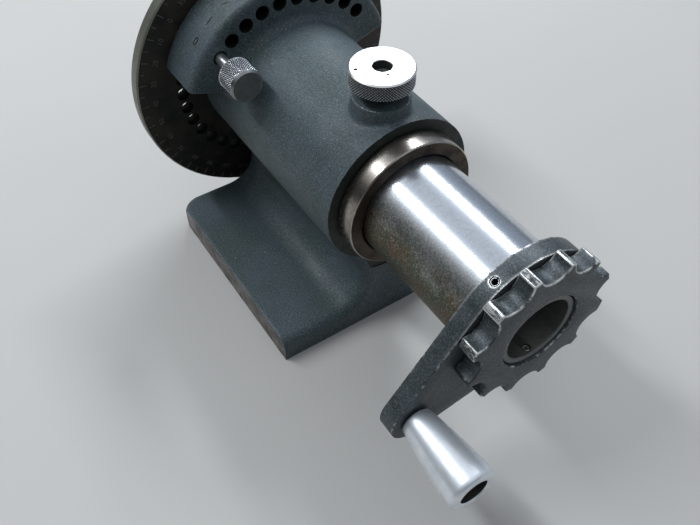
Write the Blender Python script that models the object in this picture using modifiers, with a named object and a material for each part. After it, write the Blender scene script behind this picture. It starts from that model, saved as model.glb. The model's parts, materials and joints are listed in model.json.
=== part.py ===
"""Spin index fixture for 5C collets, modelled as separate sub-parts.

Frame: metres, +Z up. The origin is the centre of the base's bottom face. The spindle runs along Y
at SPINDLE_HEIGHT, with the collet nose and index plate at +Y and the crank and handwheel at -Y.
"""
from math import acos, asin, atan2, cos, hypot, pi, radians, sin, tan

import bmesh
import bpy
from mathutils import Matrix

MM = 0.001
GAP = 0.3 * MM

# Casting
SPINDLE_HEIGHT = 70.0 * MM
BASE_HALF_WIDTH = 55.5 * MM
BASE_HALF_LENGTH = 50.5 * MM
BASE_THICKNESS = 12.4 * MM
BASE_REAR_CORNER = 3.0 * MM
BASE_FRONT_CORNER = 9.0 * MM
BASE_EDGE_ROUND = 2.0 * MM
WEB_HALF_BOTTOM = 16.0 * MM
WEB_HALF_TOP = 15.2 * MM
WEB_FOOT_FILLET = 13.0 * MM
WEB_NECK_FILLET = 10.0 * MM
BARREL_RADIUS = 32.5 * MM
BARREL_CHAMFER = 1.0 * MM
BORE_RADIUS = 22.5 * MM
BODY_REAR = -50.1 * MM
BODY_FRONT = 51.3 * MM
SPOT_FACE_RADIUS = 39.0 * MM
SECTOR_RADIUS = 51.0 * MM
SECTOR_REAR = 28.8 * MM
SECTOR_HALF_ANGLE = radians(72.0)
SECTOR_ROUND = 3.0 * MM
BOSS_RADIUS = 11.3 * MM
BOSS_FOOT_RADIUS = 12.2 * MM
BOSS_TOP = 108.0 * MM

# Index plate and pin
PLATE_RADIUS = 63.5 * MM
PLATE_REAR = BODY_FRONT + 0.4 * MM
PLATE_FRONT = PLATE_REAR + 6.3 * MM
PLATE_BORE = 24.3 * MM
PIN_CIRCLE = 43.0 * MM
PIN_HOLE_RADIUS = 2.85 * MM
PIN_RADIUS = 2.4 * MM
PIN_ANGLE = radians(90.0 + 49.5)
VERNIER_PITCH = radians(11.0)
VERNIER_HOLES = 10
PLATE_HOLES = 36
PIN_HEAD_RADIUS = 7.0 * MM
PIN_HEAD_REAR = 5.5 * MM
PIN_HEAD_FRONT = 17.5 * MM
PIN_TIP = 46.5 * MM
WASHER_RECESS_RADIUS = 29.8 * MM
WASHER_RECESS_DEPTH = 1.6 * MM

# Spindle
JOURNAL_RADIUS = 22.2 * MM
TUBE_RADIUS = 21.85 * MM
STUB_RADIUS = 20.6 * MM
REGISTER_RADIUS = 24.0 * MM
FLANGE_RADIUS = 32.3 * MM
FLANGE_THICKNESS = 5.5 * MM
NOSE_RADIUS = 23.5 * MM
NOSE_FRONT = 67.0 * MM
COLLET_BORE = 15.95 * MM
COLLET_MOUTH = 18.6 * MM
COLLET_HALF_ANGLE = radians(10.0)
DRAW_BORE = 18.0 * MM
DRAW_BORE_FRONT = 8.0 * MM
KEY_SCREW_Y = 40.0 * MM
COLLAR_RADIUS = 28.0 * MM
COLLAR_REAR = -58.7 * MM
PLATE_SCREW_CIRCLE = 27.8 * MM
PLATE_SCREWS = 3
SCREW_SHANK = 2.0 * MM
SCREW_HEAD = 3.5 * MM
SCREW_HEAD_HEIGHT = 3.7 * MM

# Crank
ARM_FRONT = -115.5 * MM
ARM_REAR = -122.5 * MM
HUB_RADIUS = 28.3 * MM
ARM_END_RADIUS = 9.7 * MM
CRANK_X = -43.7 * MM
CRANK_Z = -25.8 * MM
ARM_PIN_ANGLE = radians(121.0)
SPRING_PIN_RADIUS = 1.75 * MM
GRIP_LENGTH = 31.6 * MM
GRIP_END_RADIUS = 9.2 * MM
GRIP_BORE = 5.5 * MM
STUD_RADIUS = 3.0 * MM

# Draw tube and handwheel
DRAW_TUBE_RADIUS = 17.6 * MM
DRAW_TUBE_TAIL = 15.4 * MM
DRAW_TUBE_BORE = 13.1 * MM
DRAW_THREAD_BORE = 15.75 * MM
DRAW_TUBE_FRONT = -3.0 * MM
DRAW_TUBE_REAR = -129.4 * MM
WHEEL_REAR = -130.4 * MM
WHEEL_RADIUS = 30.2 * MM
WHEEL_FLUTES = 12
FLUTE_RADIUS = 6.6 * MM
FLUTE_CENTRE = 32.0 * MM
WHEEL_PIN_RADIUS = 1.25 * MM

# Lock screw
LOCK_Y = -36.5 * MM
KNOB_RADIUS = 12.2 * MM
KNOB_BOTTOM = 112.8 * MM
KNOB_TOP = 119.6 * MM
KNOB_BORE = 3.55 * MM
LOCK_THREAD_RADIUS = 3.95 * MM
LOCK_HOLE_RADIUS = 4.3 * MM
SHOE_TOP = 95.5 * MM

STEPS_RIM = 64
STEPS_LARGE = 48
STEPS_MEDIUM = 32
STEPS_SMALL = 16
SCREW_STEPS = 14
HOLE_STEPS = 10
ALONG_Y = (-pi / 2, 0.0, 0.0)

PAINT = ("casting_paint", (0.055, 0.065, 0.070), 0.55, 0.0)
BLACK_OXIDE = ("black_oxide_steel", (0.035, 0.032, 0.029), 0.50, 0.6)
DARK_STEEL = ("dark_steel", (0.090, 0.100, 0.105), 0.50, 0.7)
GROUND_STEEL = ("ground_steel", (0.560, 0.560, 0.570), 0.25, 1.0)
ALUMINIUM = ("bare_aluminium", (0.780, 0.790, 0.810), 0.35, 1.0)
BRASS = ("brass", (0.720, 0.520, 0.230), 0.35, 1.0)


# ---------------------------------------------------------------- helpers

def clear_scene():
    for old in list(bpy.data.objects):
        bpy.data.objects.remove(old, do_unlink=True)


def new_collection(name):
    collection = bpy.data.collections.new(name)
    bpy.context.scene.collection.children.link(collection)
    return collection


def material(look):
    name, colour, roughness, metallic = look
    found = bpy.data.materials.get(name)
    if found:
        return found
    made = bpy.data.materials.new(name)
    made.use_nodes = True
    shader = made.node_tree.nodes["Principled BSDF"]
    shader.inputs["Base Color"].default_value = (*colour, 1.0)
    shader.inputs["Roughness"].default_value = roughness
    shader.inputs["Metallic"].default_value = metallic
    return made


def new_axis(name, location):
    """An empty on a joint's axis, which the pieces that move together hang on."""
    axis = bpy.data.objects.new(name, None)
    axis.location = location
    axis.empty_display_size = 10 * MM
    parts.objects.link(axis)
    return axis


def add_part(name, mesh, look, axis, location=(0, 0, 0), rotation=(0, 0, 0)):
    mesh.shade_smooth()
    mesh.set_sharp_from_angle(angle=radians(35))
    mesh.materials.append(material(look))
    part = bpy.data.objects.new(name, mesh)
    part.parent = axis
    part.location = location
    part.rotation_euler = rotation
    parts.objects.link(part)
    return part


def add_cutter(name, mesh, axis, location=(0, 0, 0), rotation=(0, 0, 0)):
    cutter = bpy.data.objects.new(name, mesh)
    cutter.parent = axis
    cutter.location = location
    cutter.rotation_euler = rotation
    cutter.hide_render = True
    cutter.display_type = "WIRE"
    cutters.objects.link(cutter)
    return cutter


def boolean(part, other, operation="DIFFERENCE"):
    step = part.modifiers.new(other.name, "BOOLEAN")
    step.operation = operation
    step.solver = "EXACT"
    step.object = other


def bevel(part, width):
    step = part.modifiers.new("edge chamfer", "BEVEL")
    step.width = width
    step.segments = 1
    step.limit_method = "ANGLE"
    step.angle_limit = radians(50)


def evaluated_mesh(source):
    """The source object's mesh after its modifiers; the source object goes."""
    graph = bpy.context.evaluated_depsgraph_get()
    mesh = bpy.data.meshes.new_from_object(source.evaluated_get(graph))
    bpy.data.objects.remove(source, do_unlink=True)
    return mesh


def turned(profile, steps, closed=False):
    """Mesh of a profile of (radius, height) points turned round Z; closed makes a ring."""
    mesh = bpy.data.meshes.new("profile")
    count = len(profile)
    edges = [(i, i + 1) for i in range(count - 1)]
    if closed:
        edges.append((count - 1, 0))
    mesh.from_pydata([(radius, 0, height) for radius, height in profile], edges, [])
    source = bpy.data.objects.new("profile", mesh)
    cutters.objects.link(source)
    screw = source.modifiers.new("turn", "SCREW")
    screw.steps = steps
    screw.render_steps = steps
    screw.use_merge_vertices = True
    screw.merge_threshold = 0.00001
    return evaluated_mesh(source)


def extruded(loops, thickness):
    """Mesh of flat outlines (an outer loop and its holes) with their middle plane at z = 0."""
    curve = bpy.data.curves.new("outline", "CURVE")
    curve.dimensions = "2D"
    curve.fill_mode = "BOTH"
    curve.extrude = thickness / 2
    for loop in loops:
        spline = curve.splines.new("POLY")
        spline.points.add(len(loop) - 1)
        spline.use_cyclic_u = True
        for point, (x, y) in zip(spline.points, loop):
            point.co = (x, y, 0, 1)
    source = bpy.data.objects.new("outline", curve)
    cutters.objects.link(source)
    mesh = evaluated_mesh(source)
    body = bmesh.new()
    body.from_mesh(mesh)
    bmesh.ops.remove_doubles(body, verts=body.verts, dist=0.000001)
    bmesh.ops.recalc_face_normals(body, faces=body.faces)
    body.to_mesh(mesh)
    body.free()
    return mesh


def arc(x, y, radius, start, end, count):
    """Points of an arc with both ends, angles in radians."""
    return [(x + radius * cos(start + (end - start) * i / count),
             y + radius * sin(start + (end - start) * i / count)) for i in range(count + 1)]


def circle(x, y, radius, steps):
    return arc(x, y, radius, 0, 2 * pi * (steps - 1) / steps, steps - 1)


def on_circle(radius, angle):
    """Point of a circle round the spindle's axis, as (x, z) from the axis."""
    return radius * cos(angle), radius * sin(angle)


def cylinder(radius, low, high, steps):
    return turned([(0, high), (radius, high), (radius, low), (0, low)], steps)


def radial(angle, y):
    """Location and rotation that turn local +Z to point away from the spindle's axis at y."""
    return (0, y, 0), (0, pi / 2 - angle, 0)


def merged(mesh, places):
    """One mesh with a copy of the given mesh at each (x, y) place."""
    body = bmesh.new()
    for x, y in places:
        copy = mesh.copy()
        copy.transform(Matrix.Translation((x, y, 0)))
        body.from_mesh(copy)
    group = bpy.data.meshes.new("group")
    body.to_mesh(group)
    body.free()
    return group


def facing_y(places):
    """(x, z) places round the spindle in the local plane of a shape rotated by ALONG_Y."""
    return [(x, -z) for x, z in places]


# ---------------------------------------------------------------- casting

def base_mesh():
    rear, front = BASE_REAR_CORNER, BASE_FRONT_CORNER
    wide, long = BASE_HALF_WIDTH, BASE_HALF_LENGTH
    outline = arc(wide - rear, rear - long, rear, -pi / 2, 0, 4)
    outline += arc(wide - front, long - front, front, 0, pi / 2, 6)
    outline += arc(front - wide, long - front, front, pi / 2, pi, 6)
    outline += arc(rear - wide, rear - long, rear, pi, 1.5 * pi, 4)
    mesh = extruded([outline], BASE_THICKNESS)
    body = bmesh.new()
    body.from_mesh(mesh)
    bmesh.ops.dissolve_limit(body, angle_limit=radians(1), verts=body.verts, edges=body.edges)
    top = [edge for edge in body.edges if min(vertex.co.z for vertex in edge.verts) > 0]
    bmesh.ops.bevel(body, geom=top, offset=BASE_EDGE_ROUND, segments=3, profile=0.5,
                    affect="EDGES", clamp_overlap=True)
    body.to_mesh(mesh)
    body.free()
    return mesh


def web_mesh():
    """Upright web between the base and the barrel, with fillets at its foot and neck."""
    foot, neck = WEB_FOOT_FILLET, WEB_NECK_FILLET
    sink = 0.1 * MM
    foot_x = WEB_HALF_BOTTOM + foot
    foot_z = BASE_THICKNESS - sink + foot
    neck_x = WEB_HALF_TOP + neck
    reach = BARREL_RADIUS - sink + neck
    neck_z = SPINDLE_HEIGHT - (reach ** 2 - neck_x ** 2) ** 0.5
    neck_end = atan2(SPINDLE_HEIGHT - neck_z, -neck_x)
    side = [(foot_x, BASE_THICKNESS / 2)]
    side += arc(foot_x, foot_z, foot, -pi / 2, -pi, 7)
    side += arc(neck_x, neck_z, neck, pi, neck_end, 5)
    side += [(WEB_HALF_BOTTOM / 2, SPINDLE_HEIGHT - BORE_RADIUS + 5 * MM)]
    outline = side + [(-x, z) for x, z in reversed(side)]
    return extruded([facing_y(outline)], 2 * BASE_HALF_LENGTH)


def sector_part(spindle_axis):
    """The vernier sector: a ring with a rounded rear rim, cut back to its upper part."""
    rounding = arc(SECTOR_RADIUS - SECTOR_ROUND, SECTOR_REAR + SECTOR_ROUND, SECTOR_ROUND,
                   0, -pi / 2, 4)
    inner = BARREL_RADIUS - 4 * MM
    profile = [(SECTOR_RADIUS, BODY_FRONT)] + rounding + [(inner, SECTOR_REAR), (inner, BODY_FRONT)]
    sector = add_cutter("sector", turned(profile, STEPS_RIM, closed=True),
                        spindle_axis, rotation=ALONG_Y)
    wide = 2 * SECTOR_RADIUS
    right = on_circle(wide, pi / 2 - SECTOR_HALF_ANGLE)
    left = on_circle(wide, pi / 2 + SECTOR_HALF_ANGLE)
    wedge = [(0, 0), left, (-wide, -wide), (wide, -wide), right]
    boolean(sector, add_cutter("below_sector", extruded([facing_y(wedge)], 4 * wide),
                               spindle_axis, rotation=ALONG_Y))
    hole = cylinder(PIN_HOLE_RADIUS, SECTOR_REAR - 1 * MM, BODY_FRONT + 1 * MM, HOLE_STEPS)
    places = [on_circle(PIN_CIRCLE, PIN_ANGLE - VERNIER_PITCH * i) for i in range(VERNIER_HOLES)]
    boolean(sector, add_cutter("vernier_holes", merged(hole, facing_y(places)),
                               spindle_axis, rotation=ALONG_Y))
    return sector


def make_body(spindle_axis, lock_axis):
    over = 0.3 * MM
    rim = BARREL_RADIUS - BARREL_CHAMFER
    barrel = [(0, BODY_FRONT), (BARREL_RADIUS, BODY_FRONT), (BARREL_RADIUS, BODY_REAR + BARREL_CHAMFER),
              (rim, BODY_REAR), (rim, BODY_REAR - over), (0, BODY_REAR - over)]
    body = add_part("body_casting", turned(barrel, STEPS_LARGE), PAINT, spindle_axis,
                    rotation=ALONG_Y)
    base = add_cutter("base", base_mesh(), None, location=(0, 0, BASE_THICKNESS / 2))
    web = add_cutter("web", web_mesh(), None, rotation=ALONG_Y)
    boss_profile = [(0, BOSS_TOP), (BOSS_RADIUS, BOSS_TOP), (BOSS_RADIUS + 0.3 * MM, BOSS_TOP - 4 * MM),
                    (BOSS_FOOT_RADIUS, BOSS_TOP - 8 * MM), (BOSS_FOOT_RADIUS, BOSS_TOP - 13 * MM),
                    (0, BOSS_TOP - 13 * MM)]
    boss = add_cutter("boss", turned(boss_profile, STEPS_MEDIUM), lock_axis)
    for piece in (web, base, sector_part(spindle_axis), boss):
        boolean(body, piece, "UNION")
    recess = BODY_FRONT - WASHER_RECESS_DEPTH
    bore = [(0, BODY_FRONT + 2 * MM), (WASHER_RECESS_RADIUS, BODY_FRONT + 2 * MM),
            (WASHER_RECESS_RADIUS, recess), (BORE_RADIUS, recess), (BORE_RADIUS, BODY_REAR - 2 * MM),
            (0, BODY_REAR - 2 * MM)]
    spot = cylinder(SPOT_FACE_RADIUS, BODY_REAR - 2 * MM, BODY_REAR, STEPS_LARGE)
    lock_hole = cylinder(LOCK_HOLE_RADIUS, SPINDLE_HEIGHT, BOSS_TOP + 2 * MM, STEPS_SMALL)
    boolean(body, add_cutter("body_bore", turned(bore, STEPS_LARGE), spindle_axis, rotation=ALONG_Y))
    boolean(body, add_cutter("spot_face", spot, spindle_axis, rotation=ALONG_Y))
    boolean(body, add_cutter("lock_hole", lock_hole, lock_axis))


def make_thrust_washer(spindle_axis):
    inner = BORE_RADIUS + 0.2 * MM
    outer = WASHER_RECESS_RADIUS - 0.4 * MM
    low = BODY_FRONT - WASHER_RECESS_DEPTH + GAP
    high = PLATE_REAR - GAP
    profile = [(inner, high), (outer, high), (outer, low), (inner, low)]
    add_part("front_thrust_washer", turned(profile, STEPS_MEDIUM, closed=True), GROUND_STEEL,
             spindle_axis, rotation=ALONG_Y)


# ---------------------------------------------------------------- spindle group

def plate_screw_places():
    return [on_circle(PLATE_SCREW_CIRCLE, pi / 2 + 2 * pi * i / PLATE_SCREWS)
            for i in range(PLATE_SCREWS)]


def make_index_plate(spindle_axis):
    edge = 0.6 * MM
    profile = [(PLATE_BORE, PLATE_FRONT), (PLATE_RADIUS - edge, PLATE_FRONT),
               (PLATE_RADIUS, PLATE_FRONT - edge), (PLATE_RADIUS, PLATE_REAR + edge),
               (PLATE_RADIUS - edge, PLATE_REAR), (PLATE_BORE, PLATE_REAR)]
    plate = add_part("index_plate", turned(profile, STEPS_RIM, closed=True), BLACK_OXIDE,
                     spindle_axis, rotation=ALONG_Y)
    low, high = PLATE_REAR - 1 * MM, PLATE_FRONT + 1 * MM
    pitch = 2 * pi / PLATE_HOLES
    places = [on_circle(PIN_CIRCLE, PIN_ANGLE + pitch * i) for i in range(PLATE_HOLES)]
    holes = merged(cylinder(PIN_HOLE_RADIUS, low, high, HOLE_STEPS), facing_y(places))
    boolean(plate, add_cutter("plate_holes", holes, spindle_axis, rotation=ALONG_Y))
    tapped = merged(cylinder(SCREW_SHANK + GAP, low, high, HOLE_STEPS),
                    facing_y(plate_screw_places()))
    boolean(plate, add_cutter("plate_screw_holes", tapped, spindle_axis, rotation=ALONG_Y))


def make_spindle(spindle_axis):
    flange_rear = PLATE_FRONT + GAP
    flange_front = flange_rear + FLANGE_THICKNESS
    chamfer = 0.6 * MM
    seat = NOSE_FRONT - (COLLET_MOUTH - COLLET_BORE) / tan(COLLET_HALF_ANGLE)
    register = PLATE_REAR + 0.05 * MM
    collar_seat = BODY_REAR - 0.1 * MM
    shoulder = ARM_FRONT + GAP
    tail = ARM_REAR + GAP
    profile = [(COLLET_MOUTH, NOSE_FRONT), (NOSE_RADIUS - chamfer, NOSE_FRONT),
               (NOSE_RADIUS, NOSE_FRONT - chamfer), (NOSE_RADIUS, flange_front),
               (FLANGE_RADIUS - chamfer, flange_front), (FLANGE_RADIUS, flange_front - chamfer),
               (FLANGE_RADIUS, flange_rear), (REGISTER_RADIUS, flange_rear),
               (REGISTER_RADIUS, register), (JOURNAL_RADIUS, register),
               (JOURNAL_RADIUS, collar_seat), (TUBE_RADIUS, collar_seat), (TUBE_RADIUS, shoulder),
               (STUB_RADIUS, shoulder), (STUB_RADIUS, tail), (DRAW_BORE, tail),
               (DRAW_BORE, DRAW_BORE_FRONT), (COLLET_BORE, DRAW_BORE_FRONT), (COLLET_BORE, seat)]
    spindle = add_part("spindle", turned(profile, STEPS_LARGE, closed=True), GROUND_STEEL,
                       spindle_axis, rotation=ALONG_Y)
    counterbore = flange_front - SCREW_HEAD_HEIGHT - 2 * GAP
    hole = turned([(0, flange_front + 2 * MM), (SCREW_HEAD + GAP, flange_front + 2 * MM),
                   (SCREW_HEAD + GAP, counterbore), (SCREW_SHANK + GAP, counterbore),
                   (SCREW_SHANK + GAP, flange_rear - 1 * MM), (0, flange_rear - 1 * MM)], SCREW_STEPS)
    boolean(spindle, add_cutter("counterbores", merged(hole, facing_y(plate_screw_places())),
                                spindle_axis, rotation=ALONG_Y))
    place, turn = radial(pi / 2, KEY_SCREW_Y)
    boolean(spindle, add_cutter("key_screw_hole",
                                cylinder(1.8 * MM, COLLET_BORE - 3 * MM, JOURNAL_RADIUS + 2 * MM, HOLE_STEPS),
                                spindle_axis, place, turn))
    place, turn = radial(ARM_PIN_ANGLE, (ARM_FRONT + ARM_REAR) / 2)
    boolean(spindle, add_cutter("stub_pin_hole",
                                cylinder(SPRING_PIN_RADIUS + GAP, DRAW_BORE - 2 * MM, STUB_RADIUS + 2 * MM,
                                         SCREW_STEPS), spindle_axis, place, turn))


def make_plate_screws(spindle_axis):
    top = PLATE_FRONT + FLANGE_THICKNESS
    under_head = top - SCREW_HEAD_HEIGHT
    profile = [(0, top), (SCREW_HEAD - 0.4 * MM, top), (SCREW_HEAD, top - 0.4 * MM),
               (SCREW_HEAD, under_head), (SCREW_SHANK, under_head),
               (SCREW_SHANK, PLATE_REAR + 0.7 * MM), (0, PLATE_REAR + 0.7 * MM)]
    for i, (x, z) in enumerate(plate_screw_places()):
        name = f"plate_screw_{i + 1}"
        screw = add_part(name, turned(profile, SCREW_STEPS), DARK_STEEL, spindle_axis,
                         (x, 0, z), ALONG_Y)
        socket = cylinder(1.7 * MM, top - 2 * MM, top + 1 * MM, 6)
        boolean(screw, add_cutter(name + "_socket", socket, spindle_axis, (x, 0, z), ALONG_Y))


def make_set_screw(name, axis, angle, y, radius, inner, outer):
    place, turn = radial(angle, y)
    screw = add_part(name, cylinder(radius, inner, outer, HOLE_STEPS), DARK_STEEL, axis, place, turn)
    socket = cylinder(0.5 * radius, outer - 1.6 * MM, outer + 1 * MM, 6)
    boolean(screw, add_cutter(name + "_socket", socket, axis, place, turn))


def make_collar(spindle_axis):
    bore = TUBE_RADIUS + GAP
    front = BODY_REAR - GAP
    chamfer = 0.9 * MM
    middle = (front + COLLAR_REAR) / 2
    profile = [(bore, front), (COLLAR_RADIUS - 0.3 * MM, front), (COLLAR_RADIUS, front - 0.3 * MM),
               (COLLAR_RADIUS, COLLAR_REAR + chamfer), (COLLAR_RADIUS - chamfer, COLLAR_REAR),
               (bore, COLLAR_REAR)]
    collar = add_part("end_play_collar", turned(profile, STEPS_LARGE, closed=True), GROUND_STEEL,
                      spindle_axis, rotation=ALONG_Y)
    screw_angle = radians(-60)
    place, turn = radial(screw_angle, middle)
    hole = cylinder(1.8 * MM, bore - 2 * MM, COLLAR_RADIUS + 1 * MM, HOLE_STEPS)
    boolean(collar, add_cutter("collar_screw_hole", hole, spindle_axis, place, turn))
    make_set_screw("collar_set_screw", spindle_axis, screw_angle, middle, 1.5 * MM,
                   bore, COLLAR_RADIUS - 0.8 * MM)


def spring_pin_mesh(radius, wall, low, high):
    """Rolled spring pin: a tube with a slit, along Z from low to high."""
    slit = radians(14)
    inner = radius - wall
    outline = arc(0, 0, radius, slit, 2 * pi - slit, 14) + arc(0, 0, inner, 2 * pi - slit, slit, 14)
    mesh = extruded([outline], high - low)
    mesh.transform(Matrix.Translation((0, 0, (low + high) / 2)))
    return mesh


def make_crank_arm(spindle_axis):
    """Arm outline: the hub's and the end's circles joined by their outer tangents."""
    reach = hypot(CRANK_X, CRANK_Z)
    heading = atan2(CRANK_Z, CRANK_X)
    spread = acos((HUB_RADIUS - ARM_END_RADIUS) / reach)
    hub = arc(0, 0, HUB_RADIUS, heading + spread, heading + 2 * pi - spread, 32)
    end = arc(CRANK_X, CRANK_Z, ARM_END_RADIUS, heading - spread, heading + spread, 12)
    bore = circle(0, 0, STUB_RADIUS + GAP, STEPS_LARGE)
    stud_hole = circle(CRANK_X, CRANK_Z, STUD_RADIUS + GAP, STEPS_SMALL)
    loops = [facing_y(loop) for loop in (hub + end, bore, stud_hole)]
    middle = (ARM_FRONT + ARM_REAR) / 2
    arm = add_part("crank_arm", extruded(loops, ARM_FRONT - ARM_REAR), DARK_STEEL, spindle_axis,
                   (0, middle, 0), ALONG_Y)
    bevel(arm, 0.6 * MM)
    place, turn = radial(ARM_PIN_ANGLE, middle)
    hole = cylinder(SPRING_PIN_RADIUS + GAP, STUB_RADIUS - 3 * MM, HUB_RADIUS + 2 * MM, SCREW_STEPS)
    boolean(arm, add_cutter("arm_pin_hole", hole, spindle_axis, place, turn))
    pin = spring_pin_mesh(SPRING_PIN_RADIUS, 0.55 * MM, DRAW_BORE + 0.4 * MM, HUB_RADIUS - 0.3 * MM)
    add_part("arm_roll_pin", pin, GROUND_STEEL, spindle_axis, place, turn)


def make_grip(grip_axis):
    """Tapered grip with a deep bore at its free end; it turns on the stud."""
    start = ARM_REAR - 0.4 * MM
    free = start - GRIP_LENGTH
    shank_bore = STUD_RADIUS + 0.4 * MM
    bore_floor = start - 12 * MM
    profile = [(shank_bore, start), (5.3 * MM, start), (6.0 * MM, start - 0.8 * MM),
               (6.6 * MM, start - 4 * MM), (7.4 * MM, start - 9 * MM), (8.2 * MM, start - 15 * MM),
               (8.85 * MM, start - 21 * MM), (GRIP_END_RADIUS, start - 27 * MM)]
    profile += arc(GRIP_END_RADIUS - 2 * MM, free + 2 * MM, 2 * MM, 0, -pi / 2, 4)
    profile += [(GRIP_BORE, free), (GRIP_BORE, bore_floor), (shank_bore, bore_floor)]
    add_part("grip", turned(profile, STEPS_MEDIUM, closed=True), ALUMINIUM, grip_axis,
             rotation=ALONG_Y)


def make_grip_stud(grip_axis):
    start = ARM_REAR - 0.4 * MM
    washer_top = start - 12 * MM - GAP
    washer_low = washer_top - 0.8 * MM
    head_top = washer_low - GAP
    head_low = head_top - 4 * MM
    head = GRIP_BORE - 0.6 * MM
    washer = [(STUD_RADIUS + GAP, washer_top), (head, washer_top), (head, washer_low),
              (STUD_RADIUS + GAP, washer_low)]
    add_part("grip_washer", turned(washer, STEPS_SMALL, closed=True), GROUND_STEEL, grip_axis,
             rotation=ALONG_Y)
    tip = ARM_FRONT - 0.2 * MM
    profile = [(0, tip), (STUD_RADIUS - 0.4 * MM, tip), (STUD_RADIUS, tip - 0.4 * MM),
               (STUD_RADIUS, head_top), (head, head_top), (head, head_low), (0, head_low)]
    stud = add_part("grip_stud", turned(profile, STEPS_SMALL), DARK_STEEL, grip_axis,
                    rotation=ALONG_Y)
    socket = cylinder(2.4 * MM, head_low - 1 * MM, head_low + 2.5 * MM, 6)
    boolean(stud, add_cutter("grip_stud_socket", socket, grip_axis, rotation=ALONG_Y))


# ---------------------------------------------------------------- draw tube group

def wheel_outline():
    """Scalloped outline: a land and a round flute, repeated; flutes lie on the axes."""
    half_flute = acos((WHEEL_RADIUS ** 2 + FLUTE_CENTRE ** 2 - FLUTE_RADIUS ** 2)
                      / (2 * WHEEL_RADIUS * FLUTE_CENTRE))
    opening = asin(WHEEL_RADIUS * sin(half_flute) / FLUTE_RADIUS)
    pitch = 2 * pi / WHEEL_FLUTES
    outline = []
    for i in range(WHEEL_FLUTES):
        middle = i * pitch
        x, z = on_circle(FLUTE_CENTRE, middle)
        outline += arc(x, z, FLUTE_RADIUS, middle + pi + opening, middle + pi - opening, 6)
        outline += arc(0, 0, WHEEL_RADIUS, middle + half_flute, middle + pitch - half_flute, 2)[1:-1]
    return outline


def make_handwheel(draw_axis):
    front = ARM_REAR - GAP
    middle = (front + WHEEL_REAR) / 2
    bore = circle(0, 0, DRAW_TUBE_TAIL + GAP + 0.05 * MM, STEPS_LARGE)
    loops = [facing_y(wheel_outline()), facing_y(bore)]
    wheel = add_part("handwheel", extruded(loops, front - WHEEL_REAR), DARK_STEEL, draw_axis,
                     (0, middle, 0), ALONG_Y)
    bevel(wheel, 0.5 * MM)
    place, turn = radial(-pi / 2, middle)
    hole = cylinder(WHEEL_PIN_RADIUS + GAP, DRAW_TUBE_BORE - 2 * MM, WHEEL_RADIUS, HOLE_STEPS)
    cutter = add_cutter("wheel_pin_hole", hole, draw_axis, place, turn)
    boolean(wheel, cutter)
    pin = spring_pin_mesh(WHEEL_PIN_RADIUS, 0.4 * MM, DRAW_TUBE_BORE + 0.4 * MM,
                          FLUTE_CENTRE - FLUTE_RADIUS - 0.3 * MM)
    add_part("handwheel_pin", pin, GROUND_STEEL, draw_axis, place, turn)
    return cutter


def make_draw_tube(draw_axis, pin_hole):
    step = ARM_REAR + 1.3 * MM
    edge = 0.4 * MM
    thread_end = DRAW_TUBE_FRONT - 17 * MM
    profile = [(DRAW_THREAD_BORE, DRAW_TUBE_FRONT), (DRAW_TUBE_RADIUS, DRAW_TUBE_FRONT),
               (DRAW_TUBE_RADIUS, step), (DRAW_TUBE_TAIL, step),
               (DRAW_TUBE_TAIL, DRAW_TUBE_REAR + edge), (DRAW_TUBE_TAIL - edge, DRAW_TUBE_REAR),
               (DRAW_TUBE_BORE, DRAW_TUBE_REAR), (DRAW_TUBE_BORE, thread_end),
               (DRAW_THREAD_BORE, thread_end)]
    tube = add_part("draw_tube", turned(profile, STEPS_LARGE, closed=True), DARK_STEEL, draw_axis,
                    rotation=ALONG_Y)
    boolean(tube, pin_hole)


# ---------------------------------------------------------------- pin and lock

def make_index_pin(pin_axis):
    chamfer = 0.8 * MM
    blind = PIN_HEAD_REAR + 4 * MM
    pin = [(0, PIN_TIP), (PIN_RADIUS - chamfer, PIN_TIP), (PIN_RADIUS, PIN_TIP - chamfer),
           (PIN_RADIUS, blind + GAP), (0, blind + GAP)]
    add_part("index_pin", turned(pin, SCREW_STEPS), GROUND_STEEL, pin_axis, rotation=ALONG_Y)
    head = [(0, blind), (PIN_RADIUS + GAP, blind), (PIN_RADIUS + GAP, PIN_HEAD_FRONT),
            (PIN_HEAD_RADIUS - chamfer, PIN_HEAD_FRONT), (PIN_HEAD_RADIUS, PIN_HEAD_FRONT - chamfer),
            (PIN_HEAD_RADIUS, PIN_HEAD_REAR + 1.5 * MM), (PIN_HEAD_RADIUS - 1.2 * MM, PIN_HEAD_REAR),
            (0, PIN_HEAD_REAR)]
    add_part("index_pin_head", turned(head, STEPS_MEDIUM), GROUND_STEEL, pin_axis,
             rotation=ALONG_Y)


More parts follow.
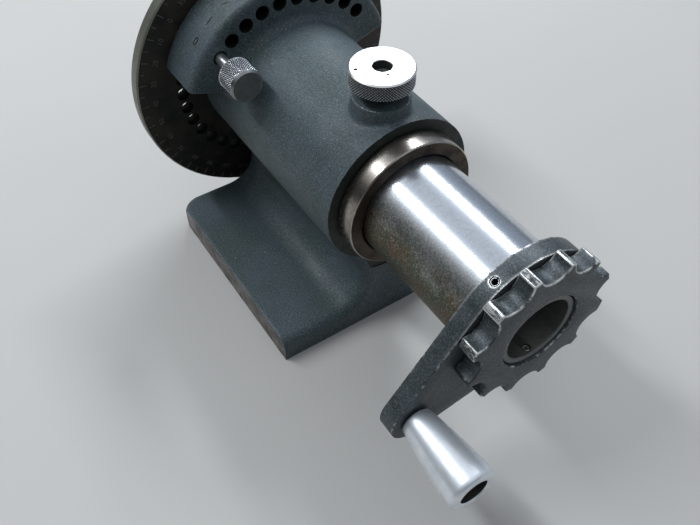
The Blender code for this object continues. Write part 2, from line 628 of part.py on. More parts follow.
def make_lock(lock_axis):
    edge = 0.5 * MM
    knob = [(KNOB_BORE, KNOB_TOP), (KNOB_RADIUS - edge, KNOB_TOP), (KNOB_RADIUS, KNOB_TOP - edge),
            (KNOB_RADIUS, KNOB_BOTTOM + edge), (KNOB_RADIUS - edge, KNOB_BOTTOM),
            (KNOB_BORE, KNOB_BOTTOM)]
    add_part("lock_knob", turned(knob, STEPS_MEDIUM, closed=True), GROUND_STEEL, lock_axis)
    shoulder = KNOB_BOTTOM - GAP
    pilot = KNOB_BORE - GAP
    top = KNOB_TOP - 3.2 * MM
    screw_low = SHOE_TOP + GAP
    screw = add_part("lock_screw",
                     turned([(0, top), (pilot, top), (pilot, shoulder), (LOCK_THREAD_RADIUS, shoulder),
                             (LOCK_THREAD_RADIUS, screw_low), (0, screw_low)], STEPS_SMALL),
                     DARK_STEEL, lock_axis)
    boolean(screw, add_cutter("lock_screw_socket", cylinder(1.7 * MM, top - 2.5 * MM, top + 1 * MM, 6),
                              lock_axis))
    shoe_low = SPINDLE_HEIGHT + JOURNAL_RADIUS + GAP
    add_part("lock_shoe", cylinder(LOCK_THREAD_RADIUS, shoe_low, SHOE_TOP, STEPS_SMALL), BRASS,
             lock_axis)


# ---------------------------------------------------------------- assembly

def build():
    spindle_axis = new_axis("spindle_axis", (0, 0, SPINDLE_HEIGHT))
    draw_axis = new_axis("draw_axis", (0, 0, SPINDLE_HEIGHT))
    grip_axis = new_axis("grip_axis", (CRANK_X, 0, SPINDLE_HEIGHT + CRANK_Z))
    pin_x, pin_z = on_circle(PIN_CIRCLE, PIN_ANGLE)
    pin_axis = new_axis("pin_axis", (pin_x, 0, SPINDLE_HEIGHT + pin_z))
    lock_axis = new_axis("lock_axis", (0, LOCK_Y, 0))
    make_body(spindle_axis, lock_axis)
    make_thrust_washer(spindle_axis)
    make_index_plate(spindle_axis)
    make_spindle(spindle_axis)
    make_plate_screws(spindle_axis)
    make_set_screw("collet_key_screw", spindle_axis, pi / 2, KEY_SCREW_Y, 1.5 * MM,
                   COLLET_BORE - 1 * MM, JOURNAL_RADIUS - 0.8 * MM)
    make_collar(spindle_axis)
    make_crank_arm(spindle_axis)
    make_grip(grip_axis)
    make_grip_stud(grip_axis)
    pin_hole = make_handwheel(draw_axis)
    make_draw_tube(draw_axis, pin_hole)
    make_index_pin(pin_axis)
    make_lock(lock_axis)


clear_scene()
parts = new_collection("spin_index_fixture")
cutters = new_collection("cutters")
build()
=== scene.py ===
import json
from math import acos, asin, atan2, cos, hypot, pi, radians, sin, tan

import bmesh
import bpy
import numpy as np
from mathutils import Matrix, Vector, noise


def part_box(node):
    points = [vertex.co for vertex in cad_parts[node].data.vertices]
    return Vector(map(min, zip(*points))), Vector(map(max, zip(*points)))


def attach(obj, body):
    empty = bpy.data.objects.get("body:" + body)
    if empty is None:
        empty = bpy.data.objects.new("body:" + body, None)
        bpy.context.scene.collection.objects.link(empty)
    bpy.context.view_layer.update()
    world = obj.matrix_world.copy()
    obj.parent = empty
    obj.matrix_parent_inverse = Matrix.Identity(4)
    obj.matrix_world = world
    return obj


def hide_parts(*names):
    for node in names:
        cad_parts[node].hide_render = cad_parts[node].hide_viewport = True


# The looks of a spindle indexing fixture: a painted casting with a bright hollow spindle, a black
# drilled plate, a crank and a scalloped handwheel. Turned pieces are profiles of (radius, height)
# turned round their own axis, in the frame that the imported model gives.

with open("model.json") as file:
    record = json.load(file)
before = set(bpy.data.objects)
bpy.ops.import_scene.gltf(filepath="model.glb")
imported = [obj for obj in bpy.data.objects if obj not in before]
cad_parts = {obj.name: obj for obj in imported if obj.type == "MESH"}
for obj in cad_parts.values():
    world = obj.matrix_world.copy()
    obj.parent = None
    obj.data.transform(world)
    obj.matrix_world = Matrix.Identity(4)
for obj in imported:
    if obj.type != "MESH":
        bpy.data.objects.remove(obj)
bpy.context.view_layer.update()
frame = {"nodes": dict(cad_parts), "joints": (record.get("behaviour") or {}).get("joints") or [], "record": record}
scene = bpy.context.scene

MM = 0.001
record = frame["record"]
joints = {joint["name"]: joint for joint in frame["joints"]}
mounts = {mount["name"]: mount for mount in record["mounts"]}
body_of = {node: body for body, nodes in record["behaviour"]["bodies"].items() for node in nodes}

SPINDLE_Z = joints["spindle_turn"]["pos_m"][2]
GRIP_X, _, GRIP_Z = joints["grip_spin"]["pos_m"]
LOCK_Y = joints["lock_screw_turn"]["pos_m"][1]


def ends(node):
    """Rear and front of a node along the spindle."""
    low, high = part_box(node)
    return low.y, high.y


def radius_of(node):
    low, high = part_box(node)
    return (high.x - low.x) / 2


# Casting
BASE_TOP = mounts["clamp_face_left"]["pos_m"][2]
BASE_HALF_WIDTH = radius_of("body_casting")
BASE_HALF_LENGTH = -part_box("body_casting")[0].y
BODY_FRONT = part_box("body_casting")[1].y
BODY_REAR = -50.1 * MM
SECTOR_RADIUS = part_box("body_casting")[1].z - SPINDLE_Z
SECTOR_REAR = 28.8 * MM
SECTOR_HALF_ANGLE = radians(72.0)
SECTOR_ROUND = 3.0 * MM
SIDE_STOCK = 1.2 * MM
REAR_CORNER = 1.5 * MM
FRONT_CORNER = 10.2 * MM
REAR_EDGE_ROUND = 5.0 * MM
EDGE_ROUND = 2.2 * MM
WEB_HALF_BOTTOM = 16.0 * MM
WEB_HALF_TOP = 15.2 * MM
FOOT_FILLET = 13.0 * MM
NECK_FILLET = 10.0 * MM
SECTOR_FILLET = 4.0 * MM
BOSS_FILLET = 1.2 * MM
BARREL_RADIUS = 32.5 * MM
BARREL_EDGE = 0.9 * MM
BORE_RADIUS = 22.5 * MM
RECESS_RADIUS = 29.8 * MM
RECESS_DEPTH = 1.6 * MM
SPOT_FACE_RADIUS = 39.0 * MM
BOSS_RADIUS = 11.3 * MM
BOSS_TOP = 108.0 * MM
LOCK_HOLE_RADIUS = 4.3 * MM
CAST_RIPPLE = 0.10 * MM
SKIN_STEP = 0.9 * MM

# Index plate and pin
PIN_CIRCLE = 43.0 * MM
PIN_HOLE_RADIUS = 2.85 * MM
PIN_ANGLE = radians(139.5)
VERNIER_PITCH = radians(11.0)
VERNIER_HOLES = 10
PLATE_HOLES = 36
PLATE_BORE = 24.3 * MM
VERNIER_CHAMFER = 0.3 * MM
PLATE_CHAMFER = 0.08 * MM
ENGRAVED = 0.16 * MM

# Spindle and crank
NOSE_RADIUS = 23.5 * MM
FLANGE_RADIUS = 32.3 * MM
FLANGE_THICKNESS = 5.5 * MM
REGISTER_RADIUS = 24.0 * MM
JOURNAL_RADIUS = 22.2 * MM
TUBE_RADIUS = 21.85 * MM
STUB_RADIUS = 20.6 * MM
DRAW_BORE = 18.0 * MM
DRAW_BORE_FRONT = 8.0 * MM
COLLET_BORE = 15.95 * MM
COLLET_MOUTH = 18.6 * MM
COLLET_HALF_ANGLE = radians(10.0)
KEY_Y = 40.0 * MM
SCREW_CIRCLE = 27.8 * MM
SCREW_HEAD = 3.5 * MM
SCREW_SHANK = 2.0 * MM
GAP = 0.3 * MM
HUB_RADIUS = 28.3 * MM
ARM_END_RADIUS = 9.7 * MM
ARM_PIN_ANGLE = radians(121.0)
STUD_RADIUS = 3.0 * MM
GRIP_BORE = 5.5 * MM

# Draw tube and handwheel
DRAW_TUBE_RADIUS = 17.6 * MM
DRAW_TUBE_TAIL = 15.4 * MM
DRAW_TUBE_BORE = 13.1 * MM
DRAW_THREAD_BORE = 15.75 * MM
DRAW_THREAD_LENGTH = 17.0 * MM
DRAW_THREAD_PITCH = 1.27 * MM
WHEEL_RADIUS = 30.2 * MM
WHEEL_FLUTES = 12
FLUTE_RADIUS = 6.6 * MM
FLUTE_CENTRE = 32.0 * MM
FLUTE_ERRORS = {0: 4.5, 1: 5.0, 2: 2.5, 4: -0.5, 5: -1.0, 11: 1.0}

# Lock
KNOB_BORE = 3.55 * MM
KNURL_DEPTH = 0.5 * MM
KNOB_MARKS = ((9.6, 160, 0.75), (5.6, 255, 0.5), (7.6, 320, 0.45), (8.6, 312, 0.4))  # mm, degrees, mm

# Sides of round shapes
FINE = 160
MEDIUM = 96
SMALL = 48

# Room and camera
FLOOR_HALF = 8.0
CAMERA_PLACE = (-135.5 * MM, -221.8 * MM, 277.1 * MM)
CAMERA_AZIMUTH = radians(-33.36)
CAMERA_ELEVATION = radians(48.78)
CAMERA_LENS = 39.76
PANEL_SIZE = (0.10, 1.00)
PANEL_COLOUR = (0.88, 0.94, 1.0)
SKY_LOW = (0.035, 0.038, 0.040)
SKY_HIGH = (0.34, 0.39, 0.46)
SKY_LEAN = 0.50
SKY_TOP = 0.85


def shift(x, y, z=0.0):
    return Matrix.Translation((x, y, z))


def on_circle(radius, angle):
    """Point of a circle round the spindle's axis, as (x, z) from the axis."""
    return radius * cos(angle), radius * sin(angle)


def axis_place(x, z):
    """Local Z runs along the spindle, through (x, z)."""
    return shift(x, 0, z) @ Matrix.Rotation(-pi / 2, 4, "X")


pin_x, pin_z = on_circle(PIN_CIRCLE, PIN_ANGLE)
SPINDLE = axis_place(0, SPINDLE_Z)
GRIP = axis_place(GRIP_X, GRIP_Z)
PIN = axis_place(pin_x, SPINDLE_Z + pin_z)
LOCK = shift(0, LOCK_Y)


def radial_place(angle, y):
    """Local Z points away from the spindle's axis at y."""
    return shift(0, y, SPINDLE_Z) @ Matrix.Rotation(pi / 2 - angle, 4, "Y")


def across(angle, y):
    """The same place as a piece on the spindle sees it."""
    return SPINDLE.inverted() @ radial_place(angle, y)


# ---- Mesh helpers

def rounded(corners, closed, arc_steps=4):
    """(x, y, zone) points of a profile, with each rounding as a short arc.

    A corner is (x, y), then its rounding and the finish of the face that follows it where they aren't 0.
    """
    corners = [(*given, 0, 0)[:4] for given in corners]
    points = []
    count = len(corners)
    for i, (x, y, rounding, zone) in enumerate(corners):
        if rounding <= 0 or (not closed and i in (0, count - 1)):
            points.append((x, y, zone))
            continue
        here = Vector((x, y))
        back = (Vector(corners[i - 1][:2]) - here).normalized()
        ahead = (Vector(corners[(i + 1) % count][:2]) - here).normalized()
        half = back.angle(ahead) / 2
        centre = here + (back + ahead).normalized() * rounding / sin(half)
        start = here + back * rounding / tan(half) - centre
        turn = start.angle_signed(here + ahead * rounding / tan(half) - centre)
        for k in range(arc_steps + 1):
            point = centre + Matrix.Rotation(-turn * k / arc_steps, 2) @ start
            points.append((point.x, point.y, corners[i - 1][3] if k < arc_steps else zone))
    return points


def new_mesh(vertices, faces, zones=None):
    mesh = bpy.data.meshes.new("shape")
    mesh.from_pydata(vertices, [], faces)
    if zones is not None:
        mesh.polygons.foreach_set("material_index", np.array(zones, np.int32))
    body = bmesh.new()
    body.from_mesh(mesh)
    bmesh.ops.recalc_face_normals(body, faces=body.faces)
    body.to_mesh(mesh)
    body.free()
    return mesh


def turned(corners, steps):
    """Mesh of a profile turned round local Z; a profile that starts on the axis ends there too."""
    closed = corners[0][0] > 0
    profile = rounded(corners, closed)
    rows, vertices = [], []
    for radius, height, _ in profile:
        if radius < 1e-7:
            rows.append([len(vertices)] * steps)
            vertices.append((0, 0, height))
        else:
            rows.append(list(range(len(vertices), len(vertices) + steps)))
            vertices += [(radius * cos(2 * pi * k / steps), radius * sin(2 * pi * k / steps), height)
                         for k in range(steps)]
    pairs = [(i, i + 1) for i in range(len(rows) - 1)] + ([(len(rows) - 1, 0)] if closed else [])
    faces, zones = [], []
    for i, j in pairs:
        for k in range(steps):
            n = (k + 1) % steps
            face = list(dict.fromkeys((rows[i][k], rows[i][n], rows[j][n], rows[j][k])))
            if len(face) > 2:
                faces.append(face)
                zones.append(profile[i][2])
    return new_mesh(vertices, faces, zones)


def drill(radius, low, high, zone=0, chamfer_low=0.0, chamfer_high=0.0, steps=SMALL):
    """Cutter for a round hole along local Z, with a chamfer where it meets a face at low or high."""
    over = 1 * MM

    def mouth(height, chamfer, side):
        wide = radius + chamfer
        ring = [(wide + over, height + side * over), (wide, height), (radius, height - side * chamfer)]
        return ring if chamfer else [(radius, height + side * over)]

    profile = [(0, high + over), *mouth(high, chamfer_high, 1),
               *mouth(low, chamfer_low, -1)[::-1], (0, low - over)]
    return zoned(turned(profile, steps), zone)


def moved(mesh, place):
    copy = mesh.copy()
    copy.transform(place)
    return copy


def joined(meshes):
    """One mesh of several, each keeping its finishes."""
    body = bmesh.new()
    for mesh in meshes:
        body.from_mesh(mesh)
    group = bpy.data.meshes.new("group")
    body.to_mesh(group)
    body.free()
    return group


def repeated(mesh, places):
    return joined([moved(mesh, place) for place in places])


def temporary(mesh):
    made = bpy.data.objects.new("temporary", mesh)
    scene.collection.objects.link(made)
    return made


def evaluated(source):
    """The source object's mesh after its modifiers; the source object goes."""
    graph = bpy.context.evaluated_depsgraph_get()
    mesh = bpy.data.meshes.new_from_object(source.evaluated_get(graph))
    bpy.data.objects.remove(source, do_unlink=True)
    return mesh


def carved(mesh, *cutters, slots=2):
    """The mesh with the cutters taken away; cut faces keep the finish number of their cutter."""
    for each in (mesh, *cutters):
        while len(each.materials) < slots:
            each.materials.append(None)
    target = temporary(mesh)
    others = [temporary(cutter) for cutter in cutters]
    for other in others:
        step = target.modifiers.new("cut", "BOOLEAN")
        step.operation = "DIFFERENCE"
        step.solver = "EXACT"
        step.object = other
    result = evaluated(target)
    for other in others:
        bpy.data.objects.remove(other, do_unlink=True)
    return result


def zoned(mesh, zone):
    mesh.polygons.foreach_set("material_index", np.full(len(mesh.polygons), zone, np.int32))
    return mesh


def softened(mesh, width, segments=3, angle=50, zone=-1):
    """The mesh with its sharp edges rounded, in a finish of their own where a zone is given."""
    while len(mesh.materials) <= zone:
        mesh.materials.append(None)
    source = temporary(mesh)
    if zone > 0:
        zoned(mesh, 0)
    step = source.modifiers.new("edges", "BEVEL")
    step.width = width
    step.segments = segments
    step.limit_method = "ANGLE"
    step.angle_limit = radians(angle)
    step.material = zone
    return evaluated(source)


def extruded(loops, thickness):
    """Mesh of flat outlines (an outer loop and its holes) with their middle plane at z = 0."""
    curve = bpy.data.curves.new("outline", "CURVE")
    curve.dimensions = "2D"
    curve.fill_mode = "BOTH"
    curve.extrude = thickness / 2
    for loop in loops:
        spline = curve.splines.new("POLY")
        spline.points.add(len(loop) - 1)
        spline.use_cyclic_u = True
        for point, (x, y) in zip(spline.points, loop):
            point.co = (x, y, 0, 1)
    return welded(evaluated(temporary(curve)))


def welded(mesh):
    body = bmesh.new()
    body.from_mesh(mesh)
    bmesh.ops.remove_doubles(body, verts=body.verts, dist=0.001 * MM)
    bmesh.ops.dissolve_limit(body, angle_limit=radians(0.2), verts=body.verts, edges=body.edges)
    bmesh.ops.recalc_face_normals(body, faces=body.faces)
    body.to_mesh(mesh)
    body.free()
    return mesh


def arc(x, y, radius, start, end, count):
    return [(x + radius * cos(start + (end - start) * i / count),
             y + radius * sin(start + (end - start) * i / count)) for i in range(count + 1)]


def circle(x, y, radius, steps):
    return arc(x, y, radius, 0, 2 * pi * (steps - 1) / steps, steps - 1)


def facing_y(places):
    """(x, z) places in the local plane of a shape that lies along the spindle."""
    return [(x, -z) for x, z in places]


def knurled(mesh, radius, low, high, count):
    """Presses a diamond knurl into the cylinder of that radius between two heights."""
    places = np.array([vertex.co for vertex in mesh.vertices])
    reach = np.hypot(places[:, 0], places[:, 1])
    chosen = (abs(reach - radius) < 0.01 * MM) & (places[:, 2] > low) & (places[:, 2] < high)
    around = np.arctan2(places[:, 1], places[:, 0]) * count / (2 * pi)
    along = places[:, 2] * count / (2 * pi * radius)
    groove = np.ones(len(places))
    for wave in (around + along, around - along):
        groove = np.minimum(groove, 1 - abs(2 * (wave % 1) - 1))
    share = np.where(chosen, 1 - KNURL_DEPTH * (1 - groove) / radius, 1)
    places[:, :2] *= share[:, None]
    mesh.vertices.foreach_set("co", places.astype(np.float32).ravel())
    mesh.update()
    return mesh


def lettering(text, size, bold=0.0):
    """Solid letters centred on the origin, standing ENGRAVED above and below z = 0."""
    curve = bpy.data.curves.new("text", "FONT")
    curve.body = text
    curve.size = size
    curve.align_x = "CENTER"
    curve.align_y = "CENTER"
    curve.extrude = ENGRAVED
    curve.offset = bold
    curve.resolution_u = 3
    return welded(evaluated(temporary(curve)))


def basis(right, up, normal, place):
    """Matrix that takes local axes to those directions, at that place."""
    rows = [(right[i], up[i], normal[i], place[i]) for i in range(3)]
    return Matrix((*rows, (0, 0, 0, 1)))


def dress(mesh, looks):
    """Puts the looks in the mesh's slots; each face keeps the number of its finish."""
    zones = np.zeros(len(mesh.polygons), np.int32)
    mesh.polygons.foreach_get("material_index", zones)
    mesh.materials.clear()
    for look in looks:
        mesh.materials.append(look)
    mesh.polygons.foreach_set("material_index", zones)


def piece(name, mesh, place, looks, *nodes, smooth=35):
    """A finished piece that stands for the CAD nodes and rides on the first one's body."""
    mesh.shade_smooth()
    mesh.set_sharp_from_angle(angle=radians(smooth))
    dress(mesh, looks)
    made = bpy.data.objects.new(name, mesh)
    scene.collection.objects.link(made)
    made.matrix_world = place
    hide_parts(*nodes)
    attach(made, body_of[nodes[0]])
    return made


# ---- Materials

class Nodes:
    """Short calls for the nodes of one tree."""

    def __init__(self, tree):
        self.tree = tree

    def connect(self, socket, value):
        if isinstance(value, bpy.types.NodeSocket):
            self.tree.links.new(value, socket)
        elif value is not None:
            socket.default_value = value

    def node(self, kind, inputs=None, **settings):
        made = self.tree.nodes.new(kind)
        for key, value in settings.items():
            setattr(made, key, value)
        for socket, value in (inputs or {}).items():
            self.connect(made.inputs[socket], value)
        return made

    def math(self, operation, first, second=None, third=None):
        sockets = {0: first, 1: second, 2: third}
        return self.node("ShaderNodeMath", sockets, operation=operation).outputs[0]

    def times(self, first, second):
        return self.math("MULTIPLY", first, second)

    def between(self, value, low, high, out_low=0.0, out_high=1.0):
        """Smooth step of value from low to high."""
        sockets = {"Value": value, "From Min": low, "From Max": high, "To Min": out_low, "To Max": out_high}
        return self.node("ShaderNodeMapRange", sockets, interpolation_type="SMOOTHSTEP").outputs["Result"]

    def mix(self, share, first, second):
        sockets = {0: share}
        for index, colour in ((6, first), (7, second)):
            sockets[index] = (*colour, 1.0) if isinstance(colour, tuple) else colour
        return self.node("ShaderNodeMix", sockets, data_type="RGBA").outputs[2]

    def blend_values(self, share, first, second):
        return self.node("ShaderNodeMix", {0: share, 2: first, 3: second}, data_type="FLOAT").outputs[0]

    def split(self, vector):
        return self.node("ShaderNodeSeparateXYZ", {0: vector}).outputs[:3]

    def dot(self, first, second):
        product = self.node("ShaderNodeVectorMath", {0: first, 1: second}, operation="DOT_PRODUCT")
        return product.outputs["Value"]


class Look(Nodes):
    """A material with one Principled shader, and the patterns that feed it. Sizes are in metres."""

    def __init__(self, name, metallic, **constants):
        self.material = bpy.data.materials.new(name)
        self.material.use_nodes = True
        super().__init__(self.material.node_tree)
        self.shader = self.tree.nodes["Principled BSDF"]
        self.place = self.node("ShaderNodeTexCoord").outputs["Object"]
        self.feed(Metallic=metallic, **constants)

    def feed(self, **values):
        for name, value in values.items():
            self.connect(self.shader.inputs[name.replace("_", " ")], value)

    def finish(self, colour, roughness, normal=None):
        self.feed(Base_Color=colour, Roughness=roughness, Normal=normal)
        return self.material

    def noise(self, size, detail=3.0, roughness=0.55, seed=0.0, place=None):
        """Noise with features of about that size."""
        sockets = {"Vector": place or self.place, "W": seed, "Scale": 1.0 / size, "Detail": detail,
                   "Roughness": roughness}
        return self.node("ShaderNodeTexNoise", sockets, noise_dimensions="4D").outputs["Fac"]

    def streaks(self, x, y, z, detail=2.0, roughness=0.6, seed=0.0):
        """Noise with that many features to the metre along each axis."""
        place = self.node("ShaderNodeMapping", {"Vector": self.place, "Scale": (x, y, z)}).outputs["Vector"]
        return self.noise(1.0, detail, roughness, seed, place)

    def rings(self, width, detail=2.0):
        """Noise in rings of that width round local Z."""
        place = self.node("ShaderNodeCombineXYZ", {0: self.math("DIVIDE", self.reach(), width)}).outputs[0]
        return self.noise(1.0, detail, 0.6, place=place)

    def spots(self, spacing, size):
        """1 in sparse round spots, 0 between them."""
        cells = self.node("ShaderNodeTexVoronoi", {"Vector": self.place, "Scale": 1.0 / spacing})
        return self.between(cells.outputs["Distance"], size, size * 0.6)

    def bump(self, height, distance, strength=1.0, under=None):
        sockets = {"Height": height, "Distance": distance, "Strength": strength, "Normal": under}
        return self.node("ShaderNodeBump", sockets).outputs["Normal"]

    def reach(self):
        """Distance from local Z."""
        x, y, _ = self.split(self.place)
        return self.math("SQRT", self.math("ADD", self.times(x, x), self.times(y, y)))

    def handled_side(self):
        """1 on the upper side of a part on the spindle, where hands reach it; local Y is down."""
        return self.between(self.dot(self.place, (-0.26, -0.97, 0.0)), 6 * MM, 26 * MM)

    def hand_wear(self):
        return self.math("MULTIPLY_ADD", self.handled_side(), 0.16, self.noise(3.4 * MM, 5.0, 0.7, 3.0))

    def edges(self, width, low=0.04, high=0.30):
        """1 along edges, fading out within that width."""
        normal = self.node("ShaderNodeNewGeometry").outputs["Normal"]
        soft = self.node("ShaderNodeBevel", {"Radius": width}, samples=6).outputs["Normal"]
        return self.between(self.math("SUBTRACT", 1.0, self.dot(soft, normal)), low, high)


def casting_paint():
    """Dark slate enamel with a sandy cast grain, rubbed through at the edges."""
    look = Look("casting_paint", 0.0)
    grain = look.noise(0.62 * MM, 2.0, 0.7)
    cloud = look.between(look.noise(22 * MM), 0.3, 0.7)
    colour = look.mix(cloud, (0.038, 0.060, 0.058), (0.055, 0.078, 0.090))
    colour = look.mix(look.between(grain, 0.52, 0.74), colour, (0.155, 0.185, 0.215))
    colour = look.mix(look.between(grain, 0.47, 0.28), colour, (0.006, 0.010, 0.011))
    colour = look.mix(look.times(look.spots(7 * MM, 0.045), 0.6), colour, (0.42, 0.42, 0.38))
    patches = look.between(look.noise(3 * MM, 4.0, 0.7), 0.47, 0.62)
    colour = look.mix(look.times(look.edges(0.9 * MM, 0.06, 0.4), patches), colour, (0.30, 0.30, 0.28))
    lumps = look.bump(look.noise(3.2 * MM), 0.10 * MM, 0.6)
    return look.finish(colour, look.between(look.noise(9 * MM), 0.25, 0.75, 0.50, 0.64),
                       look.bump(grain, 0.14 * MM, 0.9, lumps))


def machined_iron():
    """Bare iron with straight cutter marks and dull stains."""
    look = Look("machined_iron", 0.75)
    bare, dull = (0.15, 0.142, 0.128), (0.0675, 0.0639, 0.0576)
    marks = look.streaks(40.0, 2600.0, 40.0, roughness=0.5)
    stain = look.noise(7 * MM, 4.0, 0.6)
    colour = look.mix(look.between(stain, 0.35, 0.70), bare, dull)
    return look.finish(look.mix(look.times(marks, 0.35), colour, bare),
                       look.between(stain, 0.3, 0.7, 0.34, 0.55), look.bump(marks, 0.02 * MM, 0.5))


def turned_metal(name, colour, dark, roughness, ring=0.10 * MM, depth=0.004 * MM, metallic=1.0, stains=0.5):
    """Metal with fine marks round local Z, from turning, and faint stains."""
    look = Look(name, metallic)
    marks = look.math("ADD", look.streaks(60.0, 60.0, 1.0 / ring), look.rings(ring))
    stain = look.noise(5 * MM, 4.0, 0.62)
    stained = look.mix(look.times(look.between(stain, 0.42, 0.75), stains), colour, dark)
    rough = look.between(stain, 0.25, 0.75, roughness * 0.8, roughness * 1.35)
    return look.finish(stained, look.math("MULTIPLY_ADD", marks, 0.06, rough), look.bump(marks, depth, 0.6))


def tube_steel():
    """Ground steel: bright on top, dull and then brown and green patina towards the lower left, where the darker
    colour is partly painted shade.
    """
    look = Look("tube_steel", 1.0)
    side = look.dot(look.place, (-0.80 / TUBE_RADIUS, 0.60 / TUBE_RADIUS, 0.0))
    mottle = look.noise(1.6 * MM, 5.0, 0.75)
    cloud = look.noise(11 * MM, 3.0, 0.6, 2.0)
    speck = look.noise(0.7 * MM, 3.0, 0.7, 9.0)
    spread = look.math("MULTIPLY_ADD", cloud, 0.55, look.math("MULTIPLY_ADD", side, 0.70, -0.35))
    # Towards the lower left this mask brings in the dark patina colours: partly real patina, partly painted shade
    # on that side.
    patina_and_shade = look.between(look.math("MULTIPLY_ADD", mottle, 0.5, spread), 0.26, 0.66)
    tone = look.between(look.noise(6 * MM, 3.0, 0.6, 5.0), 0.4, 0.6)
    warm = look.mix(tone, (0.095, 0.105, 0.075), (0.135, 0.100, 0.065))
    warm = look.mix(look.between(speck, 0.50, 0.72), warm, (0.34, 0.36, 0.33))
    warm = look.mix(look.between(speck, 0.44, 0.28), warm, (0.035, 0.038, 0.028))
    bright = look.mix(look.between(mottle, 0.35, 0.75), (0.62, 0.65, 0.70), (0.44, 0.47, 0.52))
    dull = look.between(look.math("MULTIPLY_ADD", mottle, 0.35, side), 0.06, 0.46)
    grey = look.mix(look.between(speck, 0.40, 0.62), (0.25, 0.26, 0.25), (0.46, 0.48, 0.48))
    sleek = look.blend_values(dull, look.between(mottle, 0.3, 0.8, 0.17, 0.26), 0.40)
    lines = look.streaks(90.0, 90.0, 7000.0, 3.0)
    colour = look.mix(patina_and_shade, look.mix(dull, bright, grey), warm)
    return look.finish(colour, look.blend_values(patina_and_shade, sleek, 0.46),
                       look.bump(lines, 0.005 * MM, 0.6, look.bump(mottle, 0.006 * MM, 0.5)))


def black_oxide():
    """Blackened plate face: warm near-black with turning rings and rubbed edges."""
    look = Look("black_oxide", 0.35)
    rings = look.rings(0.22 * MM, 3.0)
    blotch = look.noise(8 * MM, 4.0, 0.65)
    colour = look.mix(look.between(blotch, 0.35, 0.65), (0.014, 0.013, 0.012), (0.032, 0.027, 0.021))
    colour = look.mix(look.times(look.between(rings, 0.55, 0.85), 0.5), colour, (0.060, 0.052, 0.042))
    rub = look.times(look.edges(0.4 * MM), look.between(look.noise(2.5 * MM, 4.0), 0.60, 0.70))
    return look.finish(look.mix(rub, colour, (0.26, 0.25, 0.22)), look.between(blotch, 0.3, 0.7, 0.38, 0.56),
                       look.bump(rings, 0.010 * MM, 0.5))


def worn_black(name, land=0.0):
    """Dark phosphated steel, bright where hands have rubbed its edges and its lands of that radius."""
    look = Look(name, 0.35)
    blotch = look.noise(7 * MM, 4.0, 0.6)
    grain = look.noise(0.60 * MM, 2.0, 0.7)
    colour = look.mix(look.between(blotch, 0.3, 0.7), (0.036, 0.046, 0.048), (0.060, 0.073, 0.082))
    colour = look.mix(look.times(look.between(grain, 0.50, 0.72), 0.75), colour, (0.17, 0.195, 0.205))
    colour = look.mix(look.times(look.between(grain, 0.46, 0.30), 0.75), colour, (0.008, 0.010, 0.012))
    rub = look.times(look.edges(1.6 * MM, 0.01, 0.12), look.between(look.hand_wear(), 0.52, 0.66))
    if land:
        on_land = look.between(look.reach(), land - 0.25 * MM, land - 0.05 * MM)
        scratch = look.streaks(900.0, 900.0, 330.0, 4.0, 0.75, 6.0)
        scratch = look.between(look.math("MULTIPLY_ADD", look.handled_side(), 0.10, scratch), 0.56, 0.66)
        rub = look.math("MAXIMUM", rub, look.times(on_land, scratch))
    look.feed(Metallic=look.blend_values(rub, 0.30, 0.9))
    rough = look.blend_values(rub, look.between(blotch, 0.3, 0.7, 0.40, 0.52), 0.34)
    return look.finish(look.mix(rub, colour, (0.52, 0.52, 0.50)), rough, look.bump(grain, 0.06 * MM, 0.6))


def rubbed_edge():
    """The narrow rounded edges of the black parts: mostly black, rubbed to bare steel in patches."""
    look = Look("rubbed_edge", 0.6)
    bare = look.between(look.hand_wear(), 0.50, 0.66)
    grain = look.noise(0.45 * MM, 2.0, 0.7)
    return look.finish(look.mix(bare, (0.05, 0.057, 0.066), (0.62, 0.62, 0.61)),
                       look.blend_values(bare, 0.45, 0.30), look.bump(grain, 0.04 * MM, 0.5))


def aluminium():
    """Turned aluminium, bright and a little pitted from handling."""
    look = Look("aluminium", 0.75)
    cloud = look.noise(6 * MM, 4.0, 0.6)
    pits = look.spots(2.6 * MM, 0.06)
    colour = look.mix(look.between(cloud, 0.35, 0.7), (0.90, 0.93, 0.96), (0.74, 0.79, 0.84))
    dents = look.bump(look.math("SUBTRACT", cloud, pits), 0.03 * MM, 0.5)
    return look.finish(look.mix(look.times(pits, 0.8), colour, (0.06, 0.06, 0.06)),
                       look.between(cloud, 0.3, 0.7, 0.36, 0.48),
                       look.bump(look.streaks(50.0, 50.0, 6000.0), 0.004 * MM, 0.5, dents))


def knurled_steel(name, radius, point, worn_point):
    """Steel of a knurl of that radius: bright on the points, with the grooves painted near black as shade."""
    look = Look(name, 1.0)
    dirt = look.noise(3 * MM, 4.0, 0.6)
    # Painted shade: near black down in the knurl's grooves.
    groove_shade = look.between(look.reach(), radius - 0.25 * KNURL_DEPTH, radius - 0.75 * KNURL_DEPTH)
    colour = look.mix(look.between(dirt, 0.35, 0.75), point, worn_point)
    return look.finish(look.mix(groove_shade, colour, (0.030, 0.031, 0.030)),
                       look.between(dirt, 0.3, 0.7, 0.28, 0.45), look.bump(dirt, 0.01 * MM, 0.4))


def two_tone(name, roughness, size, first, second, metallic=0.0, detail=3.0, **constants):
    """Plain surface whose colour wanders between two tones over that size."""
    look = Look(name, metallic, **constants)
    return look.finish(look.mix(look.noise(size, detail), first, second), roughness)


